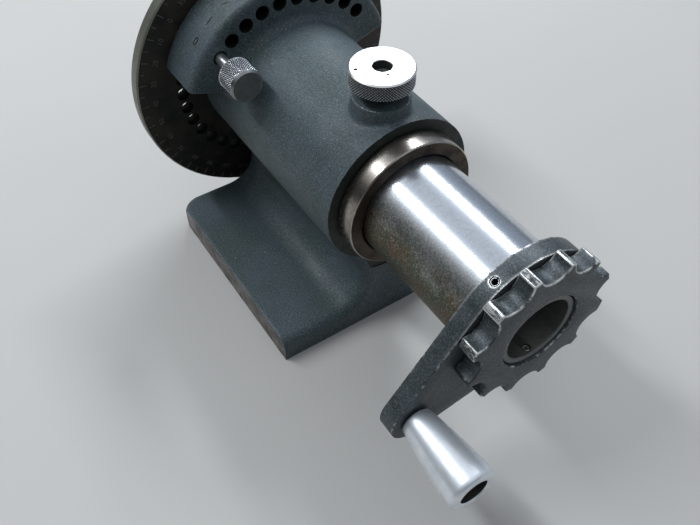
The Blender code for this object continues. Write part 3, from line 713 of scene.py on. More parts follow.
PAINT = casting_paint()
# Painted shade: the lathe-faced iron is a much darker copy of the bare iron, for faces that turn away from the
# lamps.
SHADED_IRON_FACE = turned_metal("faced_iron_painted_shade", (0.032, 0.037, 0.034), (0.014, 0.017, 0.015), 0.42, 0.25 * MM,
                         0.01 * MM, 0.6)
IRON_SIDE = machined_iron()
TUBE = tube_steel()
STEEL = turned_metal("turned_steel", (0.58, 0.59, 0.60), (0.36, 0.34, 0.30), 0.22)
COLLAR_RIM = turned_metal("collar_rim", (0.36, 0.33, 0.30), (0.15, 0.11, 0.08), 0.20, 0.14 * MM, stains=0.8)
COLLAR_EDGE = turned_metal("collar_edge", (0.44, 0.41, 0.37), (0.20, 0.16, 0.12), 0.22, stains=0.6)
# Painted shade: the collar's end face is a much darker copy of the collar's steel.
SHADED_COLLAR_FACE = turned_metal("collar_face_painted_shade", (0.075, 0.058, 0.041), (0.028, 0.023, 0.018), 0.40, metallic=0.8,
                           stains=0.9)
BORE = turned_metal("bore_steel", (0.17, 0.18, 0.16), (0.08, 0.085, 0.075), 0.42, metallic=0.9, stains=0.8)
PIN_STEEL = turned_metal("pin_steel", (0.24, 0.245, 0.25), (0.12, 0.12, 0.12), 0.30)
BRIGHT = turned_metal("bright_steel", (0.80, 0.80, 0.79), (0.55, 0.54, 0.51), 0.26, 0.16 * MM, 0.006 * MM)
DARK_STEEL = turned_metal("dark_steel", (0.105, 0.102, 0.098), (0.03, 0.03, 0.028), 0.34, metallic=0.8)
# Painted sheen: the plate's outer rim is a lighter copy of its black finish, standing in for light from above.
LIT_PLATE_RIM = turned_metal("plate_rim_painted_sheen", (0.17, 0.175, 0.14), (0.08, 0.082, 0.065), 0.36, metallic=0.6)
TAIL = turned_metal("tail_steel", (0.15, 0.16, 0.155), (0.08, 0.085, 0.08), 0.40, metallic=0.5)
BRASS = turned_metal("brass", (0.72, 0.52, 0.23), (0.45, 0.30, 0.12), 0.30)
OXIDE = black_oxide()
WORN_ARM = worn_black("arm_black")
WORN_WHEEL = worn_black("wheel_black", WHEEL_RADIUS)
RUBBED = rubbed_edge()
ALUMINIUM = aluminium()
KNOB_KNURL = knurled_steel("knob_knurl", radius_of("lock_knob"), (0.95, 0.97, 1.0), (0.70, 0.72, 0.75))
HEAD_KNURL = knurled_steel("head_knurl", radius_of("index_pin_head"), (0.90, 0.93, 0.98), (0.50, 0.52, 0.55))
# Painted shade: the walls of the drilled holes are near black and give no reflection, standing in for the shade
# inside them.
HOLE_SHADE = two_tone("hole_walls_painted_shade", 1.0, 1.5 * MM, (0.006, 0.006, 0.006), (0.016, 0.016, 0.015),
                Specular_IOR_Level=0.0)
FILL = two_tone("engraved_fill", 0.6, 0.8 * MM, (0.09, 0.085, 0.075), (0.24, 0.23, 0.20), 0.2)
FLOOR = two_tone("floor", 0.75, 120 * MM, (0.47, 0.455, 0.43), (0.50, 0.485, 0.46), detail=2.0)


# ---- Casting

def round_join(first, second, radius):
    """Union of two distances with a fillet of that radius along their junction."""
    u, v = np.maximum(radius - first, 0), np.maximum(radius - second, 0)
    return np.maximum(radius, np.minimum(first, second)) - np.hypot(u, v)


def round_cut(first, second, radius):
    """Intersection of two distances with an edge rounded to that radius."""
    u, v = np.maximum(radius + first, 0), np.maximum(radius + second, 0)
    return np.minimum(-radius, np.maximum(first, second)) + np.hypot(u, v)


def casting_distance(x, y, z):
    """Distance to the casting's rough skin, before its machined faces and holes are cut."""
    up = z - SPINDLE_Z
    around = np.hypot(x, up)
    spare = 6 * MM
    rise = np.clip((z - BASE_TOP) / (SPINDLE_Z - BARREL_RADIUS - BASE_TOP), 0, 1)
    web = np.maximum(abs(x) - WEB_HALF_BOTTOM - (WEB_HALF_TOP - WEB_HALF_BOTTOM) * rise, up)
    upright = round_join(web, around - BARREL_RADIUS, NECK_FILLET)
    upright = round_join(upright, z - BASE_TOP, FOOT_FILLET)
    edge = np.where(y > 0, FRONT_CORNER, REAR_CORNER)
    out_x = abs(x) - BASE_HALF_WIDTH - SIDE_STOCK + edge
    out_y = abs(y) - BASE_HALF_LENGTH + edge
    outline = np.hypot(np.maximum(out_x, 0), np.maximum(out_y, 0))
    outline = outline + np.minimum(np.maximum(out_x, out_y), 0) - edge
    stand = round_cut(upright, outline, EDGE_ROUND)
    stand = np.maximum(stand, round_cut(upright, -y - BASE_HALF_LENGTH, REAR_EDGE_ROUND))
    rear = BODY_REAR - 0.6 * MM
    barrel = round_cut(around - BARREL_RADIUS, np.maximum(rear - y, y - BODY_FRONT - spare), BARREL_EDGE)
    ring = round_cut(around - SECTOR_RADIUS, SECTOR_REAR - y, SECTOR_ROUND)
    lean = x * cos(SECTOR_HALF_ANGLE)
    wedge = np.maximum(lean, -lean) - up * sin(SECTOR_HALF_ANGLE)
    sector = np.maximum(round_cut(ring, wedge, 1.6 * MM), y - BODY_FRONT - spare)
    boss = round_cut(np.hypot(x, y - LOCK_Y) - BOSS_RADIUS, z - BOSS_TOP, 0.7 * MM)
    boss = np.maximum(boss, SPINDLE_Z - z)
    whole = round_join(np.minimum(stand, barrel), sector, SECTOR_FILLET)
    whole = round_join(whole, boss, BOSS_FILLET)
    return np.maximum(whole, -z - 2 * MM)


def skin(distance, low, high, step):
    """All-quad mesh of the surface where distance is zero: a point in each grid cell it crosses."""
    axes = [np.arange(low[i], high[i] + step, step) for i in range(3)]
    inside = distance(*np.meshgrid(*axes, indexing="ij")) < 0
    size = np.array(inside.shape) - 1
    corners = sum(inside[i:size[0] + i, j:size[1] + j, k:size[2] + k].astype(int)
                  for i in (0, 1) for j in (0, 1) for k in (0, 1))
    crossed = (corners > 0) & (corners < 8)
    index = np.full(crossed.shape, -1)
    index[crossed] = np.arange(crossed.sum())
    points = np.array(low) + (np.argwhere(crossed) + 0.5) * step
    quads = []
    for axis in range(3):
        near = np.take(inside, range(size[axis]), axis)
        far = np.take(inside, range(1, size[axis] + 1), axis)
        edge = np.argwhere(near != far)
        around = []
        for shift_b, shift_c in ((0, 0), (1, 0), (1, 1), (0, 1)):
            cell = edge.copy()
            cell[:, (axis + 1) % 3] -= shift_b
            cell[:, (axis + 2) % 3] -= shift_c
            around.append(index[tuple(cell.T)])
        quad = np.stack(around, 1)
        flipped = ~near[tuple(edge.T)]
        quad[flipped] = quad[flipped][:, ::-1]
        quads.append(quad)
    return points, np.concatenate(quads)


def slope(distance, points):
    """Direction in which distance grows fastest."""
    tiny = 0.02 * MM
    gradient = np.empty_like(points)
    for axis in range(3):
        step = np.zeros(3)
        step[axis] = tiny
        gradient[:, axis] = (distance(*(points + step).T) - distance(*(points - step).T)) / (2 * tiny)
    return gradient


def settled(distance, points, rounds):
    """The points moved onto the surface."""
    for _ in range(rounds):
        gradient = slope(distance, points)
        steep = np.maximum((gradient ** 2).sum(1), 0.2)
        points = points - gradient * (distance(*points.T) / steep)[:, None]
    return points


def evened(points, quads):
    """The points moved to the middle of the faces round them, which spaces them out."""
    centres = points[quads].mean(1)
    total, count = np.zeros_like(points), np.zeros(len(points))
    for side in range(4):
        np.add.at(total, quads[:, side], centres)
        np.add.at(count, quads[:, side], 1)
    return total / count[:, None]


def cast_skin():
    margin = 3 * MM
    low = (-BASE_HALF_WIDTH - SIDE_STOCK - margin, -BASE_HALF_LENGTH - margin, -5 * MM)
    high = (BASE_HALF_WIDTH + SIDE_STOCK + margin, BODY_FRONT + 9 * MM, SPINDLE_Z + SECTOR_RADIUS + margin)
    points, quads = skin(casting_distance, low, high, SKIN_STEP)
    for _ in range(4):
        points = settled(casting_distance, evened(points, quads), 3)
    points = settled(casting_distance, points, 5)
    ripple = np.array([noise.noise(Vector(point) / (7 * MM)) for point in points.tolist()])
    outward = slope(casting_distance, points)
    outward /= np.linalg.norm(outward, axis=1)[:, None]
    points = points - outward * (CAST_RIPPLE * (ripple + 1) / 2)[:, None]
    mesh = bpy.data.meshes.new("skin")
    mesh.from_pydata(points.tolist(), [], quads.tolist())
    return mesh


def face_cutter():
    """Everything the lathe takes off: the bore, the washer's recess, the front and the spot face."""
    recess = BODY_FRONT - RECESS_DEPTH
    far, edge = 90 * MM, 0.5 * MM
    start, end = BODY_FRONT + 20 * MM, BODY_REAR - 10 * MM
    profile = [(0, start), (far, start), (far, BODY_FRONT), (RECESS_RADIUS, BODY_FRONT),
               (RECESS_RADIUS, recess), (BORE_RADIUS + edge, recess), (BORE_RADIUS, recess - edge),
               (BORE_RADIUS, BODY_REAR + edge), (BORE_RADIUS + edge, BODY_REAR),
               (SPOT_FACE_RADIUS, BODY_REAR), (SPOT_FACE_RADIUS, end), (0, end)]
    return moved(zoned(turned(profile, FINE), 1), SPINDLE)


def milling_block(low, high):
    """Cutter that leaves a milled face where it meets the casting."""
    body = bmesh.new()
    bmesh.ops.create_cube(body, size=1)
    block = bpy.data.meshes.new("block")
    body.to_mesh(block)
    body.free()
    size = Vector(high) - Vector(low)
    block.transform(shift(*(Vector(high) + Vector(low)) / 2) @ Matrix.Diagonal((*size, 1)))
    return zoned(block, 2)


def base_cutters():
    """The milled bottom, and the milled sides of the base's flanges."""
    wide, over = 0.2, 5 * MM
    bottom = milling_block((-wide, -wide, -2 * over), (wide, wide, 0))
    top = BASE_TOP + over
    sides = [milling_block((BASE_HALF_WIDTH, -wide, -over), (wide, wide, top)),
             milling_block((-wide, -wide, -over), (-BASE_HALF_WIDTH, wide, top))]
    return bottom, *sides


def vernier_cutter():
    hole = drill(PIN_HOLE_RADIUS, SECTOR_REAR, BODY_FRONT, 5, VERNIER_CHAMFER)
    places = [on_circle(PIN_CIRCLE, PIN_ANGLE - VERNIER_PITCH * i) for i in range(VERNIER_HOLES)]
    return repeated(hole, [axis_place(x, SPINDLE_Z + z) for x, z in places])


def boss_cutter():
    """Faces the top of the boss and leaves a bright narrow chamfer round it."""
    over, chamfer, skim = 3 * MM, 0.5 * MM, 0.05 * MM
    foot = BOSS_TOP - chamfer
    profile = [(0, BOSS_TOP + over), (BOSS_RADIUS + over, BOSS_TOP + over), (BOSS_RADIUS + over, foot),
               (BOSS_RADIUS + 0.02 * MM, foot, 0, 4), (BOSS_RADIUS - chamfer, BOSS_TOP - skim, 0, 1),
               (0, BOSS_TOP - skim)]
    return moved(turned(profile, MEDIUM), LOCK)


def rim_digits():
    """Digits 0 to 9 stamped in the sector's rim, one beside each hole."""
    middle = SECTOR_REAR + 8.5 * MM
    digits = []
    for i in range(VERNIER_HOLES):
        angle = PIN_ANGLE - VERNIER_PITCH * i
        outward = (cos(angle), 0, sin(angle))
        up = (sin(angle), 0, -cos(angle))
        x, z = on_circle(SECTOR_RADIUS - 0.12 * MM, angle)
        place = basis((0, -1, 0), up, outward, (x, middle, SPINDLE_Z + z))
        digits.append(moved(lettering(str(i), 5.2 * MM, 0.12 * MM), place))
    return zoned(joined(digits), 3)


def make_casting():
    mesh = carved(cast_skin(), face_cutter(), *base_cutters(), slots=3)
    lock_hole = moved(drill(LOCK_HOLE_RADIUS, SPINDLE_Z, BOSS_TOP, 1, 0.0, 0.6 * MM), LOCK)
    mesh = carved(mesh, joined([vernier_cutter(), lock_hole]), boss_cutter(), rim_digits(), slots=6)
    looks = (PAINT, SHADED_IRON_FACE, IRON_SIDE, DARK_STEEL, BRIGHT, HOLE_SHADE)
    return piece("casting", mesh, Matrix(), looks, "body_casting")


# ---- Plate and pin

def plate_marks(rear, radius):
    """Ticks and numbers engraved in the plate's rear face, outside the sector."""
    marks = []
    half = 0.2 * MM
    tick = extruded([[(-half, 0), (half, 0), (half, 1 * MM), (-half, 1 * MM)]], 2 * ENGRAVED)
    for i in range(2 * PLATE_HOLES):
        angle = PIN_ANGLE + pi * i / PLATE_HOLES
        right = (sin(angle), 0, -cos(angle))
        up = (cos(angle), 0, sin(angle))
        numbered = i % 2 == 0
        length = 3.2 if numbered else 2.0
        x, z = on_circle(radius - 1.2 * MM - length * MM, angle)
        place = basis(right, up, (0, -1, 0), (x, rear, SPINDLE_Z + z))
        marks.append(moved(tick, place @ Matrix.Diagonal((1, length, 1, 1))))
        if numbered:
            x, z = on_circle(radius - 7.6 * MM, angle)
            place = basis(right, up, (0, -1, 0), (x, rear, SPINDLE_Z + z))
            marks.append(moved(lettering(str(5 * i), 3.3 * MM), place))
    return moved(zoned(joined(marks), 2), SPINDLE.inverted())


def make_index_plate():
    rear, front = ends("index_plate")
    radius = radius_of("index_plate")
    edge = 0.6 * MM
    profile = [(PLATE_BORE, front), (radius - edge, front, 0.15 * MM, 1),
               (radius, front - edge, 0.15 * MM, 1), (radius, rear + edge, 0.15 * MM, 1),
               (radius - edge, rear, 0.15 * MM), (PLATE_BORE, rear)]
    mesh = turned(profile, 2 * FINE)
    hole = drill(PIN_HOLE_RADIUS, rear, front, 3, PLATE_CHAMFER, PLATE_CHAMFER)
    pitch = 2 * pi / PLATE_HOLES
    places = facing_y([on_circle(PIN_CIRCLE, PIN_ANGLE + pitch * i) for i in range(PLATE_HOLES)])
    holes = repeated(hole, [shift(*place) for place in places])
    mesh = carved(mesh, holes, plate_marks(rear, radius), slots=4)
    piece("plate", mesh, SPINDLE, (OXIDE, LIT_PLATE_RIM, FILL, HOLE_SHADE), "index_plate")


def knurl_band(radius, low, high, count):
    """Corners from high to low, close enough together for a knurl with that many points round it."""
    rows = int((high - low) / (pi * radius / (2 * count)))
    return [(radius, high + (low - high) * i / rows, 0, 1) for i in range(rows + 1)]


def make_index_pin():
    _, tip = ends("index_pin")
    low, high = ends("index_pin_head")
    radius, head = radius_of("index_pin"), radius_of("index_pin_head")
    shank = [(0, tip), (radius - 0.7 * MM, tip, 0.2 * MM), (radius, tip - 0.9 * MM, 0.2 * MM),
             (radius, high - 4 * MM), (0, high - 4 * MM)]
    piece("pin_shank", turned(shank, SMALL), PIN, (BRIGHT,), "index_pin")
    count, chamfer, dish, sunk = 40, 1.1 * MM, 6.2 * MM, 0.25 * MM
    first, last = low + 1.5 * MM, high - chamfer
    # The end disc and the chamfer before it take darker steel than the rest of the head: painted shade on the end
    # that faces away from the lamps.
    profile = [(0, high - 0.2 * MM), (radius + 0.1 * MM, high - 0.2 * MM), (3.6 * MM, high),
               (head - chamfer, high, 0.2 * MM), *knurl_band(head, first, last, count)[:-1],
               (head, first, 0.1 * MM, 3), (dish, low, sunk, 2), (dish - 0.4 * MM, low + sunk, 0, 2),
               (0, low + sunk)]
    mesh = knurled(turned(profile, 4 * count), head, first + 0.2 * MM, last - 0.1 * MM, count)
    piece("pin_head", mesh, PIN, (BRIGHT, HEAD_KNURL, TAIL, PIN_STEEL), "index_pin_head", smooth=20)


# ---- Spindle

def screw_places():
    return facing_y([on_circle(SCREW_CIRCLE, pi / 2 + 2 * pi * i / 3) for i in range(3)])


def make_spindle():
    _, front = ends("spindle")
    plate_rear, plate_front = ends("index_plate")
    arm_rear, arm_front = ends("crank_arm")
    flange_rear = plate_front + GAP
    flange_front = flange_rear + FLANGE_THICKNESS
    seat = front - (COLLET_MOUTH - COLLET_BORE) / tan(COLLET_HALF_ANGLE)
    register, collar_seat = plate_rear + 0.05 * MM, BODY_REAR - 0.1 * MM
    shoulder, tail = arm_front + GAP, arm_rear + GAP
    edge, fine = 0.6 * MM, 0.15 * MM
    profile = [(COLLET_MOUTH, front, 0.25 * MM, 1), (NOSE_RADIUS - edge, front, fine, 1),
               (NOSE_RADIUS, front - edge, fine, 1), (NOSE_RADIUS, flange_front, 0.5 * MM, 1),
               (FLANGE_RADIUS - edge, flange_front, fine, 1), (FLANGE_RADIUS, flange_front - edge, fine, 1),
               (FLANGE_RADIUS, flange_rear, fine, 1), (REGISTER_RADIUS, flange_rear, 0, 1),
               (REGISTER_RADIUS, register, 0, 1), (JOURNAL_RADIUS, register, 0, 1),
               (JOURNAL_RADIUS, collar_seat), (TUBE_RADIUS, collar_seat),
               (TUBE_RADIUS, shoulder + 0.3 * MM, 0.3 * MM, 1), (STUB_RADIUS, shoulder, 0, 1),
               (STUB_RADIUS, tail, 0, 2), (DRAW_BORE, tail, 0, 2), (DRAW_BORE, DRAW_BORE_FRONT, 0, 2),
               (COLLET_BORE, DRAW_BORE_FRONT, 0, 2), (COLLET_BORE, seat, 0, 1)]
    floor = flange_front - 4.3 * MM
    head = moved(drill(SCREW_HEAD + GAP, floor, flange_front, 2, 0.0, 0.3 * MM), shift(0, 0, 0.5 * MM))
    shank = drill(SCREW_SHANK + GAP, flange_rear - 1 * MM, floor + 2 * MM, 2)
    screws = [shift(*place) for place in screw_places()]
    key = moved(drill(1.8 * MM, COLLET_BORE - 3 * MM, JOURNAL_RADIUS + 1 * MM, 2), across(pi / 2, KEY_Y))
    pin = moved(drill(2.05 * MM, DRAW_BORE - 2 * MM, STUB_RADIUS + 2 * MM, 2),
                across(ARM_PIN_ANGLE, (arm_rear + arm_front) / 2))
    mesh = carved(turned(profile, FINE), repeated(head, screws), repeated(shank, screws), key, pin, slots=3)
    piece("spindle_tube", mesh, SPINDLE, (TUBE, STEEL, DARK_STEEL), "spindle")


def hexagon(width, low, high):
    """Cutter for a hex socket with that width across its flats."""
    cutter = extruded([circle(0, 0, width / (2 * cos(pi / 6)), 6)], high - low)
    return zoned(moved(cutter, shift(0, 0, (low + high) / 2)), 1)


def make_screw(name, node, place, profile, socket, look=DARK_STEEL):
    """Turned screw; socket is the width, low end and high end of its hex socket."""
    mesh = carved(turned(profile, SMALL), hexagon(*socket))
    piece(name, mesh, place, (look, DARK_STEEL), node)


def make_plate_screws():
    for i, place in enumerate(screw_places()):
        node = f"plate_screw_{i + 1}"
        rear, front = ends(node)
        under = front - 3.7 * MM
        profile = [(0, front), (SCREW_HEAD - 0.3 * MM, front, 0.25 * MM),
                   (SCREW_HEAD, front - 0.5 * MM, 0.1 * MM), (SCREW_HEAD, under),
                   (SCREW_SHANK, under), (SCREW_SHANK, rear), (0, rear)]
        socket = (3.0 * MM, front - 2 * MM, front + 1 * MM)
        make_screw(f"cap_screw_{i + 1}", node, SPINDLE @ shift(*place), profile, socket)


def make_set_screw(name, node, angle, y, inner, outer):
    radius = 1.5 * MM
    profile = [(0, outer), (radius - 0.2 * MM, outer, 0.1 * MM), (radius, outer - 0.3 * MM),
               (radius, inner), (0, inner)]
    make_screw(name, node, radial_place(angle, y), profile, (1.4 * MM, outer - 1.4 * MM, outer + 1 * MM))


def make_collar():
    rear, front = ends("end_play_collar")
    radius = radius_of("end_play_collar")
    bore = TUBE_RADIUS + GAP
    chamfer, fine = 0.45 * MM, 0.10 * MM
    profile = [(bore, front), (radius - 0.3 * MM, front, fine), (radius, front - 0.3 * MM, fine),
               (radius, rear + chamfer, fine, 3), (radius - chamfer, rear, fine, 1),
               (bore + 0.7 * MM, rear, fine, 2), (bore, rear + 0.7 * MM, 0, 2)]
    angle, middle = radians(-60), (front + rear) / 2
    hole = drill(1.8 * MM, bore - 2 * MM, radius, 2, 0.0, 0.4 * MM)
    mesh = carved(turned(profile, FINE), moved(hole, across(angle, middle)), slots=4)
    piece("collar", mesh, SPINDLE, (COLLAR_RIM, SHADED_COLLAR_FACE, DARK_STEEL, COLLAR_EDGE), "end_play_collar")
    make_set_screw("collar_screw", "collar_set_screw", angle, middle, bore, radius - 0.8 * MM)


def spring_pin(radius, wall, low, high):
    """Rolled spring pin: a tube with a slit, along Z from low to high."""
    slit = radians(12)
    outline = arc(0, 0, radius, slit, 2 * pi - slit, 36) + arc(0, 0, radius - wall, 2 * pi - slit, slit, 30)
    mesh = extruded([outline], high - low)
    return softened(moved(mesh, shift(0, 0, (low + high) / 2)), 0.08 * MM, 2)


def make_crank_arm():
    """The hub's and the end's circles joined by their outer tangents."""
    rear, front = ends("crank_arm")
    crank_z = GRIP_Z - SPINDLE_Z
    heading = atan2(crank_z, GRIP_X)
    spread = acos((HUB_RADIUS - ARM_END_RADIUS) / hypot(GRIP_X, crank_z))
    hub = arc(0, 0, HUB_RADIUS, heading + spread, heading + 2 * pi - spread, 120)
    end = arc(GRIP_X, crank_z, ARM_END_RADIUS, heading - spread, heading + spread, 48)
    loops = [hub + end, circle(0, 0, STUB_RADIUS + GAP, FINE),
             circle(GRIP_X, crank_z, STUD_RADIUS + GAP, SMALL)]
    mesh = softened(extruded([facing_y(loop) for loop in loops], front - rear), 0.6 * MM, 4, zone=2)
    middle = (rear + front) / 2
    place = SPINDLE @ shift(0, 0, middle)
    hole = drill(1.65 * MM, STUB_RADIUS - 3 * MM, HUB_RADIUS, 1, 0.0, 0.15 * MM)
    mesh = carved(mesh, moved(hole, place.inverted() @ radial_place(ARM_PIN_ANGLE, middle)), slots=3)
    piece("arm", mesh, place, (WORN_ARM, PIN_STEEL, RUBBED), "crank_arm", smooth=30)
    pin = spring_pin(1.5 * MM, 0.4 * MM, DRAW_BORE + 0.4 * MM, HUB_RADIUS - 0.25 * MM)
    piece("arm_pin", pin, radial_place(ARM_PIN_ANGLE, middle), (PIN_STEEL,), "arm_roll_pin")


def make_grip():
    """Tapered grip with a deep bore at its free end; it turns on the stud."""
    free, start = ends("grip")
    end_radius = radius_of("grip")
    shank_bore = STUD_RADIUS + 0.4 * MM
    bore_floor = start - 12 * MM
    length = start - free
    profile = [(shank_bore, start), (5.1 * MM, start, 0.3 * MM)]
    for i in range(25):
        along = 0.6 * MM + (length - 2.8 * MM) * i / 24
        swell = sin(pi / 2 * along / length)
        profile.append((5.8 * MM + (end_radius - 5.8 * MM) * swell, start - along))
    profile += [(end_radius, free + 0.2 * MM, 1.8 * MM), (GRIP_BORE + 0.4 * MM, free, 0.2 * MM),
                (GRIP_BORE, free + 0.5 * MM, 0, 1), (GRIP_BORE, bore_floor, 0, 1),
                (shank_bore, bore_floor, 0, 1)]
    piece("grip_sleeve", turned(profile, MEDIUM), GRIP, (ALUMINIUM, DARK_STEEL), "grip")


def make_grip_stud():
    rear, front = ends("grip_stud")
    washer_rear, _ = ends("grip_washer")
    head = radius_of("grip_stud")
    top = washer_rear - GAP
    profile = [(0, front), (STUD_RADIUS - 0.4 * MM, front, 0.1 * MM),
               (STUD_RADIUS, front - 0.4 * MM), (STUD_RADIUS, top), (head, top, 0.1 * MM),
               (head, rear, 0.3 * MM), (0, rear)]
    make_screw("stud", "grip_stud", GRIP, profile, (4.1 * MM, rear - 1 * MM, rear + 2.5 * MM))


# ---- Draw tube and handwheel

def wheel_outline():
    """Scalloped outline: a land and a round flute, repeated; some flutes were ground a little off."""
    half_flute = acos((WHEEL_RADIUS ** 2 + FLUTE_CENTRE ** 2 - FLUTE_RADIUS ** 2)
                      / (2 * WHEEL_RADIUS * FLUTE_CENTRE))
    opening = asin(WHEEL_RADIUS * sin(half_flute) / FLUTE_RADIUS)
    pitch = 2 * pi / WHEEL_FLUTES
    middles = [i * pitch + radians(FLUTE_ERRORS.get(i, 0)) for i in range(WHEEL_FLUTES)]
    outline = []
    for i, middle in enumerate(middles):
        x, z = on_circle(FLUTE_CENTRE, middle)
        following = middles[(i + 1) % WHEEL_FLUTES] + (2 * pi if i == WHEEL_FLUTES - 1 else 0)
        outline += arc(x, z, FLUTE_RADIUS, middle + pi + opening, middle + pi - opening, 16)
        outline += arc(0, 0, WHEEL_RADIUS, middle + half_flute, following - half_flute, 4)[1:-1]
    return outline


def make_handwheel():
    rear, front = ends("handwheel")
    loops = [facing_y(wheel_outline()), facing_y(circle(0, 0, DRAW_TUBE_TAIL + 0.35 * MM, FINE))]
    mesh = softened(extruded(loops, front - rear), 0.5 * MM, 3, 24, zone=2)
    middle = (rear + front) / 2
    place = SPINDLE @ shift(0, 0, middle)
    hole = drill(1.55 * MM, DRAW_TUBE_BORE, FLUTE_CENTRE - FLUTE_RADIUS, 1, 0.0, 0.2 * MM)
    mesh = carved(mesh, moved(hole, place.inverted() @ radial_place(-pi / 2, middle)), slots=3)
    piece("wheel", mesh, place, (WORN_WHEEL, STEEL, RUBBED), "handwheel", smooth=30)
    pin = spring_pin(1.25 * MM, 0.4 * MM, DRAW_TUBE_BORE + 0.4 * MM, FLUTE_CENTRE - FLUTE_RADIUS - 0.3 * MM)
    piece("wheel_pin", pin, radial_place(-pi / 2, middle), (BRIGHT,), "handwheel_pin")


def make_draw_tube():
    rear, front = ends("draw_tube")
    wheel_rear, wheel_front = ends("handwheel")
    step = wheel_front + 1.6 * MM
    thread_end = front - DRAW_THREAD_LENGTH
    crest = DRAW_THREAD_BORE - 0.6 * MM
    profile = [(DRAW_THREAD_BORE, front, 0.2 * MM), (DRAW_TUBE_RADIUS, front, 0.3 * MM),
               (DRAW_TUBE_RADIUS, step), (DRAW_TUBE_TAIL, step),
               (DRAW_TUBE_TAIL, rear, 0.35 * MM, 1), (DRAW_TUBE_BORE, rear, 0.5 * MM, 2),
               (DRAW_TUBE_BORE, thread_end, 0, 2), (DRAW_THREAD_BORE, thread_end, 0, 2)]
    turns = int((DRAW_THREAD_LENGTH - 1 * MM) / DRAW_THREAD_PITCH)
    for i in range(turns):
        root = thread_end + DRAW_THREAD_PITCH * (i + 0.5)
        profile.append((crest, root + DRAW_THREAD_PITCH / 2, 0, 2))
        profile.append((DRAW_THREAD_BORE, root + DRAW_THREAD_PITCH, 0, 2))
    mesh = turned(profile, FINE)
    hole = drill(1.55 * MM, DRAW_TUBE_BORE - 2 * MM, DRAW_TUBE_TAIL + 1 * MM, 2)
    mesh = carved(mesh, moved(hole, across(-pi / 2, (wheel_rear + wheel_front) / 2)), slots=3)
    piece("draw_bar", mesh, SPINDLE, (DARK_STEEL, TAIL, BORE), "draw_tube")


# ---- Lock

def make_lock_knob():
    low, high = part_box("lock_knob")
    radius = radius_of("lock_knob")
    count, edge = 68, 0.55 * MM
    first, last = low.z + 0.2 * MM, high.z - edge
    profile = [(KNOB_BORE + 0.3 * MM, high.z, 0.1 * MM), (radius - edge, high.z, 0.15 * MM),
               *knurl_band(radius, first, last, count), (radius - edge, low.z, 0, 2),
               (KNOB_BORE, low.z, 0, 2), (KNOB_BORE, high.z - 0.3 * MM, 0.1 * MM)]
    mesh = knurled(turned(profile, 4 * count), radius, first - 0.1 * MM, last - 0.1 * MM, count)
    marks = []
    for distance, turn, size in KNOB_MARKS:
        dot = drill(size * MM, high.z - 0.12 * MM, high.z, 2, steps=20)
        marks.append(moved(dot, shift(*on_circle(distance * MM, radians(turn)), 0.06 * MM)))
    piece("knob", carved(mesh, joined(marks), slots=3), LOCK, (BRIGHT, KNOB_KNURL, DARK_STEEL), "lock_knob",
          smooth=20)


def make_lock_screw():
    low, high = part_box("lock_screw")
    thread = radius_of("lock_screw")
    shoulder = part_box("lock_knob")[0].z - GAP
    start = shoulder - 1.2 * MM
    pitch, depth = 1.25 * MM, 0.55 * MM
    profile = [(0, high.z), (KNOB_BORE - GAP, high.z, 0.2 * MM), (KNOB_BORE - GAP, shoulder),
               (thread, shoulder, 0.1 * MM), (thread, start)]
    for i in range(int((start - low.z - 1 * MM) / pitch)):
        crest = start - pitch * i
        profile += [(thread - depth, crest - pitch / 2), (thread, crest - pitch)]
    profile += [(thread - 0.6 * MM, low.z), (0, low.z)]
    make_screw("screw", "lock_screw", LOCK, profile, (3.0 * MM, high.z - 2.5 * MM, high.z + 1 * MM), TAIL)


def finish_hidden_nodes():
    """CAD pieces that stay as they are, with a real finish."""
    for node, look in {"front_thrust_washer": STEEL, "grip_washer": STEEL, "lock_shoe": BRASS}.items():
        for slot in frame["nodes"][node].material_slots:
            slot.material = look


# ---- Room

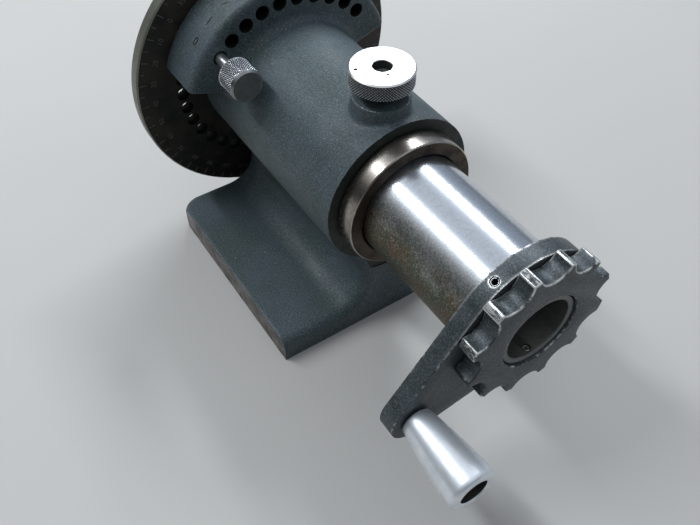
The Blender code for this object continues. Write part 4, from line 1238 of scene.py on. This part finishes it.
def make_floor():
    corners = [(x * FLOOR_HALF, y * FLOOR_HALF, 0) for x, y in ((-1, -1), (1, -1), (1, 1), (-1, 1))]
    mesh = new_mesh(corners, [(0, 1, 2, 3)])
    mesh.materials.append(FLOOR)
    temporary(mesh)


def make_camera():
    camera = bpy.data.cameras.new("camera")
    camera.lens = CAMERA_LENS
    camera.sensor_width = 36.0
    made = bpy.data.objects.new("camera", camera)
    made.location = CAMERA_PLACE
    made.rotation_euler = (pi / 2 - CAMERA_ELEVATION, 0, CAMERA_AZIMUTH)
    scene.collection.objects.link(made)
    scene.camera = made


def make_light(name, place, size, power, colour):
    """Panel that faces the spindle, with its length along it."""
    light = bpy.data.lights.new(name, "AREA")
    light.shape = "RECTANGLE"
    light.size, light.size_y = size
    light.energy = power
    light.color = colour
    made = bpy.data.objects.new(name, light)
    made.location = place
    made.rotation_euler = (0, atan2(place[0], place[2] - SPINDLE_Z), 0)
    scene.collection.objects.link(made)


def make_lights():
    make_light("left_panel", (-0.58, 0.66, 1.10), PANEL_SIZE, 10.5, PANEL_COLOUR)
    make_light("right_panel", (0.70, 0.72, 0.98), PANEL_SIZE, 11.5, PANEL_COLOUR)
    make_light("overhead", (-0.20, 0.05, 1.60), (3.60, 3.60), 14, (1.0, 0.99, 0.96))


def make_world():
    """Soft sky: pale blue overhead and on the right, dim towards the horizon and on the left."""
    world = bpy.data.worlds.new("world")
    world.use_nodes = True
    sky = Nodes(world.node_tree)
    x, _, z = sky.split(sky.node("ShaderNodeTexCoord").outputs["Generated"])
    rise = sky.between(sky.math("MULTIPLY_ADD", x, SKY_LEAN, z), 0.0, SKY_TOP)
    sky.connect(sky.tree.nodes["Background"].inputs["Color"], sky.mix(rise, SKY_LOW, SKY_HIGH))
    scene.world = world
    scene.view_settings.view_transform = "Standard"


make_camera()
make_lights()
make_world()
make_floor()
make_casting()
make_index_plate()
make_index_pin()
make_spindle()
make_plate_screws()
make_set_screw("key_screw", "collet_key_screw", pi / 2, KEY_Y,
               COLLET_BORE - 1 * MM, JOURNAL_RADIUS - 0.8 * MM)
make_collar()
make_crank_arm()
make_grip()
make_grip_stud()
make_handwheel()
make_draw_tube()
make_lock_knob()
make_lock_screw()
finish_hidden_nodes()
